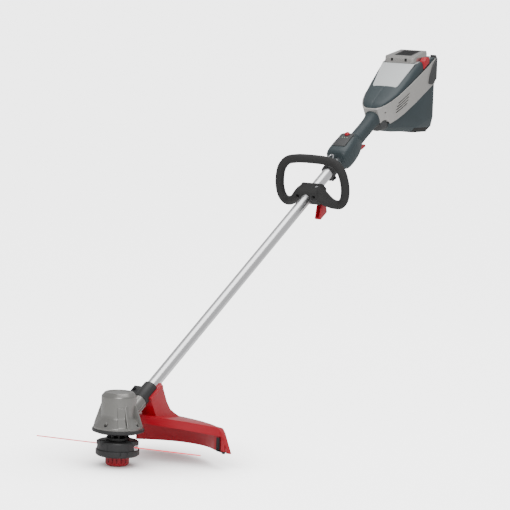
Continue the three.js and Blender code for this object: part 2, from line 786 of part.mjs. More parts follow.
// Plan of the guard, moved inwards by "inset".
function guardPlan(inset) {
  const radius = GUARD_RADIUS - inset;
  const points = [];
  for (let angle = 24; angle >= -44; angle -= 4) {
    const a = THREE.MathUtils.degToRad(angle);
    points.push([radius * Math.cos(a), radius * Math.sin(a)]);
  }
  points.push([155 - inset, -200], [140 - inset * 0.2, -228 + inset]);
  points.push([134 + inset, -228 + inset], [144 + inset, -184], [130 + inset, -98]);
  points.push([102 + inset, -27], [100 + inset, 27], [128 + inset, 62 - inset], [196, 86 - inset]);
  return points;
}

// Plane figures drawn in (Y, Z) and given a thickness along X.
const CROSS = new THREE.Matrix4().makeBasis(
  new THREE.Vector3(0, 1, 0),
  new THREE.Vector3(0, 0, 1),
  new THREE.Vector3(1, 0, 0),
);

function cross(points, x0, x1) {
  return prism(points, x0, x1).applyMatrix4(CROSS);
}

// Keeps what lies inside the sloping free end of the guard.
function insideGuardEnd(inset) {
  return solid(cross([
    [300, -60],
    [-282 + inset, -60],
    [-228 + inset, 33],
    [-198 + inset, 80],
    [-190 + inset, 88 - inset],
    [-176, 93 - inset],
    [300, 150],
  ], -50, 400));
}

function guard() {
  const outer = solid(prism(guardPlan(0), 0, 200))
    .intersect(underGuardTop(0))
    .intersect(overGuardEdge())
    .intersect(insideGuardEnd(0));
  const hollow = solid(prism(guardPlan(GUARD_WALL), -10, 200))
    .intersect(underGuardTop(GUARD_WALL))
    .intersect(insideGuardEnd(GUARD_WALL));
  // Below the rim the front is open, so the line can pass.
  const frontOpening = solid(prism([
    [60, 110],
    [208, 110],
    [208, 84],
    [134, 40],
    [124, 0],
    [126, -40],
    [148, -98],
    [162, -184],
    [156, -212],
    [120, -216],
    [60, -190],
  ], -50, 200)).intersect(underGuardTop(RIM_HEIGHT)).intersect(insideGuardEnd(6));
  const tower = solid(shaftSide([
    [SADDLE_START + 3, 8],
    [SADDLE_START + 3, -62],
    [SADDLE_START + 14, -90],
    [196, -128],
    [197, -123],
    [181, -97],
    [171, -78],
    [168, -54],
    [171, -12],
    [171, 8],
  ], TOWER_HALF));
  const belowAxis = solid(shaftBox(0, 300, -60, 60, -220, 0.4));
  const flange = union(
    solid(shaftBox(SADDLE_START, SADDLE_END, -FLANGE_HALF, 0, -7, 0.4)),
    solid(shaftBox(SADDLE_START, SADDLE_END, 0, TOWER_HALF + 1, -7, 0.4)),
  );
  const notches = [];
  for (let i = 0; i < 5; i++) {
    const from = SADDLE_START + 6 + i * 10;
    notches.push(solid(shaftBox(from, from + 5, -FLANGE_HALF - 1, -TOWER_HALF - 0.5, -8, 2)));
  }
  const lobe = solid(shaftBox(EAR_START, EAR_END, TUBE_RADIUS + 1, EAR_BOLT + 8, -7, 0.4));
  const boss = solid(bar(6.5, 37, 120, 20).translate(...BLADE_BOSS, 0))
    .intersect(underGuardTop(1))
    .intersect(solid(prism(guardPlan(1), 0, 200)))
    .intersect(insideGuardEnd(1));
  const towerInside = solid(shaftSide([
    [SADDLE_START + 7, -150],
    [SADDLE_START + 7, -30],
    [162, -30],
    [160, -60],
    [163, -84],
    [176, -106],
    [176, -150],
  ], TOWER_HALF - 3.5)).intersect(underGuardTop(-60));
  const cuts = [
    hollow.subtract(boss),
    frontOpening.subtract(boss),
    towerInside,
    solid(shaftBar(TUBE_RADIUS + GAP, 0, 300)),
    solid(shaftBar(COLLAR_RADIUS + GAP, 0, SADDLE_START - GAP)),
    solid(shaftBar(SOCKET_RADIUS + 2.4, 0, SOCKET_END + 4)),
    solid(bar(2.1, -20, 40, 16).applyMatrix4(facing(shaftPoint(EAR_AT, EAR_BOLT, 0), ABOVE))),
    solid(bar(1.9, 30, 52, 12).translate(...BLADE_BOSS, 0)),
  ];
  const skin = without(outer, cuts[0], cuts[1]);
  const stand = tower.intersect(belowAxis);
  return without(union(skin, stand, flange, lobe, boss), ...cuts.slice(2));
}

function cutterBlade() {
  const length = Math.hypot(BLADE_AT[0] - BLADE_BOSS[0], BLADE_AT[1] - BLADE_BOSS[1]);
  const foot = solid(box(0, length + 5, -6, 6, BLADE_BOTTOM, BLADE_BOTTOM + BLADE_THICKNESS));
  const [near, far] = [-2 - BLADE_THICKNESS / 2, -2 + BLADE_THICKNESS / 2];
  const edge = solid(box(-4, 8, near, far, BLADE_BOTTOM, BLADE_TOP));
  const hole = solid(bar(2.1, 30, 40, 16).translate(length, 0, 0));
  const angle = Math.atan2(BLADE_BOSS[1] - BLADE_AT[1], BLADE_BOSS[0] - BLADE_AT[0]);
  return without(union(foot, edge), hole)
    .rotate([0, 0, THREE.MathUtils.radToDeg(angle)])
    .translate([...BLADE_AT, 0]);
}

// ---------------------------------------------------------------- shaft
function shaftTube() {
  const outer = solid(shaftBar(TUBE_RADIUS, TUBE_START, TUBE_END));
  const inner = solid(shaftBar(TUBE_RADIUS - TUBE_WALL, TUBE_START - 1, TUBE_END + 1));
  return without(outer, inner);
}

function motorCable() {
  return solid(shaftBar(CABLE_RADIUS, CABLE_START, TUBE_END - 20, 10));
}

// ---------------------------------------------------------------- loop handle
function loopPoint(y, up, back) {
  const lean = LOOP_LEAN;
  return new THREE.Vector3(
    LOOP_AT.x - up * Math.sin(lean) + back * Math.cos(lean),
    y,
    LOOP_AT.z + up * Math.cos(lean) + back * Math.sin(lean),
  );
}

function loopPath() {
  const half = [
    [24, -14, -14],
    [36, -25, -12],
    [50, -40, -7],
    [64, -49, -1],
    [80, -50, 0],
    [93, -36, 0],
    [98, -12, 0],
    [96, 14, 0],
    [88, 38, 0],
    [70, 56, 0],
    [42, 62.5, 0],
    [16, 64, 0],
  ];
  const near = half.map(([y, up, back]) => loopPoint(-y, up, back));
  const far = half.map(([y, up, back]) => loopPoint(y, up, back)).reverse();
  return [...near, ...far];
}

// Wide strap from the clamp block out to the loop, on one side of the shaft.
function loopStrap(sign) {
  const rows = [
    [18, -17, -13, 22, 8, 21.5],
    [34, -26, -14, 23, 9, 20],
    [50, -41, -10, 20.5, 10, 14],
    [64, -49, -4, 16, 11, 6],
    [80, -50, 0, LOOP_THICK + 0.5, LOOP_THICK, 0],
  ];
  const sides = 12;
  const centres = rows.map(([y, up, back]) => loopPoint(sign * y, up, back));
  const origin = loopPoint(0, 0, 0);
  const rings = rows.map(([, , , wide, thin, tilt], k) => {
    const ahead = centres[Math.min(k + 1, rows.length - 1)].clone().sub(centres[Math.max(k - 1, 0)]);
    const turn = THREE.MathUtils.degToRad(tilt);
    const broad = loopPoint(0, Math.sin(turn), Math.cos(turn)).sub(origin);
    const deep = new THREE.Vector3().crossVectors(ahead, broad).normalize();
    const ring = [];
    for (let i = 0; i < sides; i++) {
      const angle = (i * 2 * Math.PI) / sides;
      const point = centres[k].clone().addScaledVector(broad, wide * Math.cos(angle));
      ring.push(point.addScaledVector(deep, thin * Math.sin(angle)));
    }
    return ring;
  });
  return solid(loft(rings));
}

function loopHandle() {
  const ring = union(solid(sweep(loopPath(), LOOP_THICK, 10, 48)), loopStrap(-1), loopStrap(1));
  const profile = solid(shaftSide([
    [CLAMP_START, 0.3],
    [CLAMP_START - 1, 12],
    [CLAMP_START + 4, CLAMP_TOP - 2],
    [CLAMP_START + 9, CLAMP_TOP],
    [CLAMP_END - 4, CLAMP_TOP],
    [CLAMP_END, CLAMP_TOP - 5],
    [CLAMP_END, 0.3],
  ], CLAMP_HALF));
  const face = solid(onShaft(cross([
    [-CLAMP_HALF, 0.3],
    [-CLAMP_HALF, 6],
    [-CLAMP_HALF + 8, CLAMP_TOP - 1],
    [-CLAMP_HALF + 11, CLAMP_TOP + 1],
    [CLAMP_HALF - 11, CLAMP_TOP + 1],
    [CLAMP_HALF - 8, CLAMP_TOP - 1],
    [CLAMP_HALF, 6],
    [CLAMP_HALF, 0.3],
  ], CLAMP_START - 5, CLAMP_END + 5)));
  const block = profile.intersect(face);
  const bore = solid(shaftBar(TUBE_RADIUS + GAP, CLAMP_START - 20, CLAMP_END + 20));
  const jawWide = JAW_HALF + 0.5;
  const jawRoom = solid(shaftBox(CLAMP_START - 6, CLAMP_END + 6, -jawWide, jawWide, -60, 0.3));
  const boltHole = solid(shaftPost(3.4, CAM_AT, CAM_ACROSS, -10, 60));
  const boltSeat = solid(shaftPost(5.4, CAM_AT, CAM_ACROSS, CLAMP_TOP - 6, 60));
  const screwHole = solid(shaftPost(2.6, SCREW_AT, -CAM_ACROSS, -10, 17));
  const recesses = [-TUBE_RADIUS - 10, TUBE_RADIUS + 10].map((y) => {
    return solid(shaftBox(CLAMP_START - 5, CLAMP_START + 6, y - 5, y + 5, 3, 12));
  });
  return without(union(ring, block), bore, jawRoom, boltHole, boltSeat, screwHole, ...recesses);
}

// Round post square to the shaft, at a point along and across it.
function shaftPost(radius, at, y, low, high, sides = 20) {
  return onShaft(bar(radius, low, high, sides).translate(at, y, 0));
}

function clampJaw() {
  const block = solid(shaftSide([
    [CLAMP_START + 4, -0.3],
    [CLAMP_START + 4, -18],
    [CLAMP_START + 12, JAW_BOTTOM],
    [CLAMP_END - 8, JAW_BOTTOM],
    [CLAMP_END - 2, -20],
    [CLAMP_END - 2, -0.3],
  ], JAW_HALF));
  const bore = solid(shaftBar(TUBE_RADIUS + GAP, CLAMP_START - 20, CLAMP_END + 20));
  const boltHole = solid(shaftPost(3.4, CAM_AT, CAM_ACROSS, -60, 10));
  const screwHole = solid(shaftPost(3, SCREW_AT, -CAM_ACROSS, -60, 10));
  return without(block, bore, boltHole, screwHole);
}

function camBolt() {
  const head = solid(shaftPost(5, CAM_AT, CAM_ACROSS, CLAMP_TOP - 5.7, CLAMP_TOP - 1.5, 6));
  const shank = solid(shaftPost(3, CAM_AT, CAM_ACROSS, LEVER_ABOVE - 4, CLAMP_TOP - 4));
  const pin = solid(crossBar(3, CAM_AT, LEVER_ABOVE, LEVER_NEAR, LEVER_FAR));
  return union(head, shank, pin);
}

function camLever() {
  const hub = solid(crossBar(9, CAM_AT, LEVER_ABOVE, LEVER_NEAR, LEVER_FAR));
  const arm = solid(shaftSide([
    [CAM_AT + 8.8, LEVER_ABOVE - 2],
    [CAM_AT + 4, LEVER_ABOVE - 24],
    [CAM_AT + 1, LEVER_ABOVE - 25.5],
    [CAM_AT - 31, LEVER_ABOVE - 25.5],
    [CAM_AT - 35, LEVER_ABOVE - 20.5],
    [CAM_AT - 15, LEVER_ABOVE + 1],
    [CAM_AT - 6, LEVER_ABOVE + 6.8],
  ], LEVER_WIDTH / 2, CAM_ACROSS));
  const pinHole = solid(crossBar(3.3, CAM_AT, LEVER_ABOVE, -60, 60));
  const fork = 3.6;
  const [low, high] = [LEVER_ABOVE - 12, LEVER_ABOVE + 20];
  const slot = solid(shaftBox(CAM_AT - 11, CAM_AT + 12, CAM_ACROSS - fork, CAM_ACROSS + fork, low, high));
  const hollow = solid(shaftSide([
    [CAM_AT - 6, LEVER_ABOVE - 14],
    [CAM_AT - 8, LEVER_ABOVE - 22.5],
    [CAM_AT - 29, LEVER_ABOVE - 22.5],
    [CAM_AT - 60, LEVER_ABOVE + 10],
    [CAM_AT - 12, LEVER_ABOVE + 10],
  ], LEVER_WIDTH / 2 - 3, CAM_ACROSS));
  return without(union(hub, arm), pinHole, slot, hollow);
}

// ---------------------------------------------------------------- harness ring
function harnessClamp() {
  const ring = solid(shaftBar(RING_RADIUS, RING_START, RING_END));
  const lug = solid(shaftBox(RING_AT - 6, RING_AT + 6, -5, 5, RING_RADIUS - 3, RING_RADIUS + 7.5));
  const ears = solid(shaftBox(RING_START + 2, RING_END - 2, -7, 7, -RING_RADIUS - 9, -RING_RADIUS + 3));
  const split = solid(shaftBox(RING_START - 1, RING_END + 1, -1, 1, -RING_RADIUS - 12, -TUBE_RADIUS));
  const bore = solid(shaftBar(TUBE_RADIUS + GAP, RING_START - 1, RING_END + 1));
  const pinHole = solid(crossBar(2.1, RING_AT, RING_PIN, -20, 20));
  const screwHole = solid(crossBar(2.2, RING_AT, -RING_RADIUS - 4, -20, 20));
  return without(union(ring, lug, ears), split, bore, pinHole, screwHole);
}

function harnessRing() {
  const pin = solid(crossBar(1.6, RING_AT, RING_PIN, -9.6, 9.6, 12));
  const points = [
    [0, -9],
    [6, -9],
    [16, -8],
    [25, -5],
    [28.5, 0],
    [25, 5],
    [16, 8],
    [6, 9],
    [0, 9],
  ].map(([out, y]) => shaftPoint(RING_AT + out * 0.96, y, RING_PIN + out * 0.27));
  return union(pin, solid(sweep(points, 1.5, 8, 22)));
}

// ---------------------------------------------------------------- pod and grip
function podShell() {
  const rows = [
    [POD_START, 10, 7, 9, 3],
    [POD_START + 3, 15, 11, 14, 3.2],
    [POD_START + 12, 19, 13.5, 17.5, 3.4],
    [POD_START + 37, 19.5, 14, 19.5, 3.4],
    [POD_END - 38, 17, 13.5, 21, 3.2],
    [POD_END - 20, 13, 12.5, 18.5, 2.8],
    [POD_END - 8, 8.5, 10, 11, 2.5],
    [POD_END, 6, 8.5, 5.5, 2.3],
  ];
  const body = solid(loft(rows.map((row) => aroundTube(...row))));
  const bore = solid(shaftBar(TUBE_RADIUS + GAP, POD_START - 5, POD_END + 5));
  const panelRoom = solid(shaftSide([
    [PANEL_START, PANEL_FLOOR],
    [PANEL_START, 60],
    [PANEL_END, 60],
    [PANEL_END, PANEL_FLOOR - 3],
    [PANEL_END - 10, PANEL_FLOOR],
  ], PANEL_HALF + GAP));
  const buttonRoom = solid(shaftPost(BUTTON_RADIUS + GAP, BUTTON_AT, 0, PANEL_FLOOR - 11, 60, 24));
  return without(body, bore, panelRoom, buttonRoom, triggerRoom(), switchRoom());
}

function triggerRoom() {
  return solid(shaftSide([
    [TRIGGER_AT - 9, UNDER_TUBE],
    [TRIGGER_AT - 9, UNDER_TUBE - 45],
    [TRIGGER_AT + 50, UNDER_TUBE - 45],
    [TRIGGER_AT + 50, UNDER_TUBE - 0.2],
  ], TRIGGER_HALF + 0.5));
}

function switchRoom() {
  return solid(shaftBox(TRIGGER_AT - 34, TRIGGER_AT - 8.5, -8, 8, UNDER_TUBE - 10, UNDER_TUBE + 0.5));
}

function microswitch() {
  return solid(shaftBox(TRIGGER_AT - 33.5, TRIGGER_AT - 13.5, -6, 6, UNDER_TUBE - 9.6, UNDER_TUBE));
}

function controlPanel() {
  const plate = solid(shaftSide([
    [PANEL_START + GAP, PANEL_FLOOR + GAP],
    [PANEL_START + GAP, PANEL_FLOOR + 3.2],
    [PANEL_START + 12, PANEL_FLOOR + 4.4],
    [PANEL_END - 14, PANEL_FLOOR + 5],
    [PANEL_END - GAP, PANEL_FLOOR + 1],
    [PANEL_END - GAP, PANEL_FLOOR - 2.6],
    [PANEL_END - 10, PANEL_FLOOR + GAP],
  ], PANEL_HALF));
  return without(plate, solid(shaftPost(BUTTON_RADIUS + GAP, BUTTON_AT, 0, PANEL_FLOOR - 11, 60, 24)));
}

function thumbButton() {
  return solid(onShaft(turned([
    [0, PANEL_FLOOR - 6.8],
    [BUTTON_RADIUS, PANEL_FLOOR - 6.8],
    [BUTTON_RADIUS, PANEL_FLOOR + 6.2],
    [BUTTON_RADIUS - 1.5, PANEL_FLOOR + 8.6],
    [BUTTON_RADIUS - 4, PANEL_FLOOR + 9.6],
    [0, PANEL_FLOOR + 9.8],
  ], 24).translate(BUTTON_AT, 0, 0)));
}

function trigger() {
  const blade = solid(shaftSide([
    [TRIGGER_AT - 6, UNDER_TUBE - 2],
    [TRIGGER_AT + 5, UNDER_TUBE - 2],
    [TRIGGER_AT + 22, UNDER_TUBE - 6.5],
    [TRIGGER_AT + 36, UNDER_TUBE - 12.5],
    [TRIGGER_AT + 49, UNDER_TUBE - 18],
    [TRIGGER_AT + 52, UNDER_TUBE - 21],
    [TRIGGER_AT + 50, UNDER_TUBE - 25],
    [TRIGGER_AT + 36, UNDER_TUBE - 23],
    [TRIGGER_AT + 20, UNDER_TUBE - 19.5],
    [TRIGGER_AT + 6, UNDER_TUBE - 16],
    [TRIGGER_AT - 5, UNDER_TUBE - 12],
  ], TRIGGER_HALF));
  return without(blade, solid(crossBar(2.3, TRIGGER_AT, TRIGGER_PIN, -20, 20, 20)));
}

function triggerPin() {
  return solid(crossBar(2, TRIGGER_AT, TRIGGER_PIN, -PIN_HALF, PIN_HALF, 16));
}

const GRIP_ROWS = [
  [POD_END + GAP, 4.8, 7.5, 4, 2.3],
  [POD_END + 14, 4.2, 6.5, 3.2, 2.3],
  [GRIP_END - 36, 4.2, 6.5, 3.2, 2.3],
  [GRIP_END - 16, 4.6, 7, 4.5, 2.4],
  [GRIP_END - GAP, 6.5, 9.5, 9, 2.5],
];

function gripBody() {
  const body = solid(loft(GRIP_ROWS.map((row) => aroundTube(...row))));
  const bore = solid(shaftBar(TUBE_RADIUS + GAP, POD_END - 5, REAR_DATUM + 2));
  return without(body, bore, triggerRoom());
}

function gripShell() {
  const keep = solid(shaftBox(POD_END, GRIP_END, -60, 60, UNDER_LEVEL, 60));
  const tail = solid(shaftBar(6, REAR_DATUM - 5, GRIP_END + 5, 16));
  return without(gripBody().intersect(keep), tail);
}

function gripUnderside() {
  const keep = solid(shaftBox(POD_END, GRIP_END, -60, 60, -60, UNDER_LEVEL - GAP));
  return gripBody().intersect(keep);
}

// ---------------------------------------------------------------- power head
const BAND_HALF = [
  [1318, 21],
  [1326, 27],
  [1340, 36.5],
  [1360, 45.5],
  [1388, BATTERY_HALF + 11],
  [1444, BATTERY_HALF + 19],
  [1507, BATTERY_HALF + 24],
  [1551, BATTERY_HALF + 27],
  [BAND_REACH, BATTERY_HALF + 28],
];

function bandPlan(inset, from, to) {
  const stations = [from, ...BAND_HALF.map((row) => row[0]).filter((s) => s > from && s < to), to];
  const near = stations.map((s) => [s, -along(BAND_HALF, s) + inset]);
  const far = stations.map((s) => [s, along(BAND_HALF, s) - inset]).reverse();
  return [...near, ...far];
}

// Everything ahead of the rear face, with its two upright corners cut back.
function rearPlan(inset) {
  return solid(prism([
    [900, -REAR_HALF + inset],
    [1334, -REAR_HALF + inset],
    [REAR_X - inset, -REAR_HALF + 15 + inset],
    [REAR_X - inset, REAR_HALF - 15 - inset],
    [1334, REAR_HALF - inset],
    [900, REAR_HALF - inset],
  ], 500, 1100));
}

// Plan of the lower body's underside, one half: X and distance from the middle.
const BODY_FOOT = [
  [1186, 24],
  [1264, BATTERY_HALF + 10],
  [1325, BATTERY_HALF + 12],
  [1338, BATTERY_HALF + 1],
];

// Half plan higher up, from its front edge back, swollen by "swell".
function bodyPlan(front, frontHalf, swell) {
  return [
    [front, frontHalf],
    [1262, BATTERY_HALF + 17 + swell],
    [1334 + swell * 0.75, BATTERY_HALF + 20 + swell],
    [REAR_X - 3 + swell * 0.75, BATTERY_HALF + 8 + swell],
  ];
}

function lowerBodyForm(inset) {
  const levels = [
    [BASE_Z, BODY_FOOT],
    [BASE_Z + 12, bodyPlan(1170, 28, 0)],
    [BASE_Z + 38, bodyPlan(1150, 33, 4)],
    [BASE_Z + 227, bodyPlan(1140, 35, 4)],
  ];
  const rings = levels.map(([z, [first, second, third, last]], k) => {
    const lift = k === 0 ? inset : 0;
    const half = [
      [first[0] + inset, first[1] - inset * 0.8],
      [second[0], second[1] - inset],
      [third[0] - inset * 0.4, third[1] - inset],
      [last[0] - inset, last[1] - inset * 0.6],
    ];
    const near = half.map(([x, y]) => new THREE.Vector3(x, -y, z + lift));
    const far = half.map(([x, y]) => new THREE.Vector3(x, y, z + lift)).reverse();
    return [...near, ...far];
  });
  return solid(loft(rings));
}

function lowerBody() {
  const underBand = solid(shaftBox(1200, 1800, -120, 120, -400, BAND_BOTTOM - GAP));
  const outer = lowerBodyForm(0).intersect(underBand);
  const noseRoom = solid(shaftBox(1280, NOSE_END + 3 + GAP, -60, 60, NOSE_BOTTOM - GAP, 40));
  return without(outer, lowerBodyForm(SHELL), noseRoom, padWrap(GAP));
}

// Skin of the body's foot that the rubber pad takes up, grown by "play".
function padWrap(play) {
  const foot = solid(box(PAD_START - play, REAR_X + 5, -90, 90, BASE_Z - 1, BASE_Z + PAD_WRAP + play));
  return without(foot, lowerBodyForm(PAD_SKIN + play));
}

function basePad() {
  const wrap = padWrap(0).intersect(lowerBodyForm(0));
  const far = BODY_FOOT.map(([x, y]) => [x, -y]).reverse();
  const sole = solid(prism([...BODY_FOOT, ...far], BASE_Z - PAD_SOLE, BASE_Z + 0.5));
  const behind = solid(box(PAD_START, REAR_X, -90, 90, BASE_Z - 10, BASE_Z + 10));
  return union(wrap, sole.intersect(behind));
}

// Rounded seat of the nose cover in the front of the band, grown by "play".
function noseSeat(play) {
  return solid(shaftSide([
    [1280, -80],
    [1280, NOSE_TOP - 5 + play],
    [GRIP_END, NOSE_TOP - 5 + play],
    [GRIP_END + 6, NOSE_TOP - 1 + play],
    [GRIP_END + 12, NOSE_TOP - 1.5 + play],
    [NOSE_END - 1 + play, NOSE_TOP - 7],
    [NOSE_END + 2 + play, NOSE_TOP - 14],
    [NOSE_END + 3 + play, BAND_BOTTOM - 0.5],
    [NOSE_END + 3 + play, -80],
  ], 60));
}

// Outer form of the side band, filled and grown by "play".
function bandForm(play) {
  const plan = bandPlan(-play, GRIP_END, BAND_REACH);
  return solid(onShaft(prism(plan, BAND_BOTTOM - play, BAND_TOP + play))).intersect(rearPlan(-play));
}

function sideBand() {
  const inner = solid(onShaft(prism(bandPlan(SHELL, 1338, BAND_REACH), BAND_BOTTOM - 5, BAND_TOP + 5)));
  const cablePath = solid(shaftBar(6, GRIP_END - 5, 1340, 16));
  const vents = VENTS.map(([from, to, above]) => {
    return solid(shaftBox(from, to, -90, 90, above - VENT_HALF, above + VENT_HALF));
  });
  const screwHole = solid(crossBar(2.4, BAND_SCREW_AT, BAND_SCREW_ABOVE, -90, 90, 16));
  const ring = bandForm(0).subtract(inner.intersect(rearPlan(SHELL)));
  const overDeckSeat = overDeck(DECK_THICK + GAP);
  return without(ring, noseSeat(GAP), cablePath, ...vents, screwHole, overDeckSeat, latchRoom());
}

function nose() {
  const block = solid(loft([
    section(GRIP_END + GAP, 19.5, NOSE_BOTTOM + 6, 6, 2.6, 24),
    section(GRIP_END + 10, 23, NOSE_BOTTOM + 2, 6, 2.8, 24),
    section(NOSE_END + 3, 28, NOSE_BOTTOM, 6, 3, 24),
  ]));
  return block.intersect(noseSeat(0));
}

// Top line of the hood and deck in (X, Z), lowered by "drop".
function overDeck(drop) {
  return solid(side([
    [DECK_START, 852 - drop - 0.2],
    [DECK_START, 1000],
    [1500, 1000],
    [1500, 960 - drop],
    [REAR_X, 931.8 - drop],
    [1257, 914 - drop],
  ], 120));
}

function deckPlan(inset) {
  const half = [
    [DECK_START + inset, BATTERY_HALF - 5.5 - inset],
    [1250, BATTERY_HALF + 6.5 - inset],
    [1300, BATTERY_HALF + 12 - inset],
    [1330, BATTERY_HALF + 12 - inset],
    [REAR_X - 0.5 - inset, BATTERY_HALF + 2 - inset],
  ];
  return solid(prism([
    ...half.map(([x, y]) => [x, -y]),
    ...half.reverse(),
  ], 600, 1100));
}

function hoodForm(inset) {
  const rise = [
    [1323, 31.5],
    [1331, 35.5],
    [1343, 38.5],
    [1392, 42.5],
    [1440, 50],
    [1502, 60],
    [1600, 62],
  ];
  const shape = [
    [-1, 0],
    [-0.97, 0.35],
    [-0.88, 0.68],
    [-0.68, 0.9],
    [-0.34, 0.98],
    [0, 1],
    [0.34, 0.98],
    [0.68, 0.9],
    [0.88, 0.68],
    [0.97, 0.35],
    [1, 0],
  ];
  const floor = BAND_TOP + GAP - (inset ? 6 : 0);
  const rings = [1323, 1331, 1343, 1365, 1392, 1440, 1502, 1600].map((at, k) => {
    const half = (k === 0 ? 13 : along(BAND_HALF, at) - 4) - inset;
    const top = along(rise, at) - inset;
    return shape.map(([across, up]) => {
      return shaftPoint(at + (k === 0 ? inset * 2 : 0), half * across, floor + (top - floor) * up);
    });
  });
  return solid(loft(rings));
}

function capRoom(play) {
  const wide = CAP_HALF + play;
  return solid(box(CAP_FRONT - play, CAP_BACK + play, -wide, wide, 700, 1100));
}

// Line just over the top edge of the band, in (X, Z).
function overBand(x, clearance) {
  const slope = Math.tan(SHAFT_SLOPE);
  return AXIS_Z + BAND_TOP / Math.cos(SHAFT_SLOPE) + x * slope + clearance;
}

// Latch's outline in (X, Z): its lower edge follows the top of the band.
function latchOutline(play, drop) {
  const low = (x) => overBand(x, GAP + LATCH_TRAVEL - drop);
  return [
    [LATCH_FRONT - play, low(LATCH_FRONT - play)],
    [LATCH_BACK + play, low(LATCH_BACK + play)],
    [LATCH_BACK + play, LATCH_TOP - 3],
    [LATCH_BACK - 6, LATCH_TOP],
    [LATCH_FRONT + 9, LATCH_TOP - 3],
    [LATCH_FRONT - play, LATCH_TOP - 12],
  ];
}

function latchRoom() {
  const play = 2 * GAP;
  const [front, back] = latchOutline(play, LATCH_TRAVEL);
  const reach = 20;
  const room = [front, back, [LATCH_BACK + play, 1000], [LATCH_FRONT - play, 1000]];
  return solid(side(room, reach, play - LATCH_IN - reach));
}

function hood() {
  const outer = hoodForm(0).intersect(rearPlan(1));
  const overRecess = overDeck(DECK_THICK + GAP).intersect(deckPlan(-GAP));
  const inner = hoodForm(SHELL + 1)
    .intersect(rearPlan(SHELL + 1))
    .intersect(underDeck(DECK_THICK + SHELL));
  const shell = without(outer, inner, overRecess, overDeck(0));
  return without(shell, capRoom(0.8), latchRoom());
}

function underDeck(drop) {
  return solid(box(1000, 1500, -120, 120, 600, 1100)).subtract(overDeck(drop));
}

function deck() {
  const sheet = overDeck(DECK_THICK).subtract(overDeck(0)).intersect(deckPlan(0));
  return without(sheet, capRoom(0.8), latchRoom());
}

function batteryCase() {
  const body = solid(box(BATTERY_FRONT, BATTERY_BACK, -BATTERY_HALF, BATTERY_HALF, BATTERY_BOTTOM, 1000));
  const railCuts = [-1, 1].map((sign) => {
    const y0 = sign > 0 ? BATTERY_HALF - 4 : -BATTERY_HALF - 1;
    const x0 = BATTERY_FRONT + 30;
    return solid(box(x0, x0 + 12, y0, y0 + 5, BATTERY_BOTTOM - 1, BATTERY_BOTTOM + 110));
  });
  return without(body.subtract(solid(side(capUnderside(GAP), 120))), ...railCuts);
}

// Region above the lower face of the battery's cap, lowered by "drop".
function capUnderside(drop) {
  return [
    [1200, CAP_SEAM_Z - CAP_SEAM_RISE * (CAP_FRONT - 1200) - drop],
    [1400, CAP_SEAM_Z + CAP_SEAM_RISE * (1400 - CAP_FRONT) - drop],
    [1400, 1200],
    [1200, 1200],
  ];
}

function batteryCap() {
  const block = solid(prism([
    [CAP_FRONT, -CAP_HALF + 12],
    [CAP_FRONT + 3, -CAP_HALF + 4],
    [CAP_FRONT + 12, -CAP_HALF],
    [CAP_BACK - 18, -CAP_HALF],
    [CAP_BACK - 5, -CAP_HALF + 6],
    [CAP_BACK, -CAP_HALF + 18],
    [CAP_BACK, CAP_HALF - 18],
    [CAP_BACK - 5, CAP_HALF - 6],
    [CAP_BACK - 18, CAP_HALF],
    [CAP_FRONT + 12, CAP_HALF],
    [CAP_FRONT + 3, CAP_HALF - 4],
    [CAP_FRONT, CAP_HALF - 12],
  ], 850, 1000));
  const profile = solid(side([
    [CAP_FRONT - 1, CAP_SEAM_Z - CAP_SEAM_RISE],
    [CAP_BACK + 1, CAP_SEAM_Z + CAP_SEAM_RISE * (CAP_BACK + 1 - CAP_FRONT)],
    [CAP_BACK + 1, 940],
    [CAP_BACK - 6, 946],
    [CAP_FRONT + 12, 931],
    [CAP_FRONT - 1, 924],
  ], 60));
  const crown = solid(cross([
    [-CAP_HALF - 1, 880],
    [-CAP_HALF - 1, 928],
    [-CAP_HALF + 8, 944],
    [-CAP_HALF + 16, 960],
    [CAP_HALF - 16, 960],
    [CAP_HALF - 8, 944],
    [CAP_HALF + 1, 928],
    [CAP_HALF + 1, 880],
  ], 1200, 1400));
  const inset = solid(side([
    [CAP_FRONT + 20, 931.2],
    [CAP_BACK - 12, 943],
    [CAP_BACK - 12, 990],
    [CAP_FRONT + 20, 990],
  ], 27));
  return block.intersect(profile).intersect(crown).subtract(inset);
}

function gaugePanel() {
  return solid(side([
    [CAP_FRONT + 20.3, 931.6],
    [CAP_BACK - 12.3, 943.3],
    [CAP_BACK - 12.3, 944.6],
    [CAP_FRONT + 20.3, 932.9],
  ], 26.7));
}

function batteryLatch() {
  return solid(side(latchOutline(0, 0), (LATCH_OUT - LATCH_IN) / 2, -(LATCH_OUT + LATCH_IN) / 2));
}

function rearBumper(sign) {
  const plan = prism([
    [1303, sign * (REAR_HALF - 11)],
    [1303, sign * (REAR_HALF - 2)],
    [1314, sign * (REAR_HALF + 2)],
    [1336, sign * (REAR_HALF + 3)],
    [REAR_X + 4, sign * (REAR_HALF - 13)],
    [REAR_X + 4, sign * (REAR_HALF - 28)],
    [REAR_X - 2, sign * (REAR_HALF - 28)],
  ], 700, 1000);
  const outline = side([
    [1304, 860],
    [1316, 858],
    [1360, 890],
    [1360, 918],
    [1351, 936],
    [1336, 930],
    [1318, 908],
    [1307, 882],
  ], 100);
  const level = shaftBox(1300, BAND_REACH, -120, 120, BAND_BOTTOM + 1, BAND_TOP - 1);
  return solid(plan).intersect(solid(outline)).intersect(solid(level)).subtract(bandForm(GAP));
}

function motorController() {
  const half = CONTROLLER_HALF;
  return solid(box(1200, 1250, -half, half, BASE_Z + SHELL + GAP, BASE_Z + 22));
}

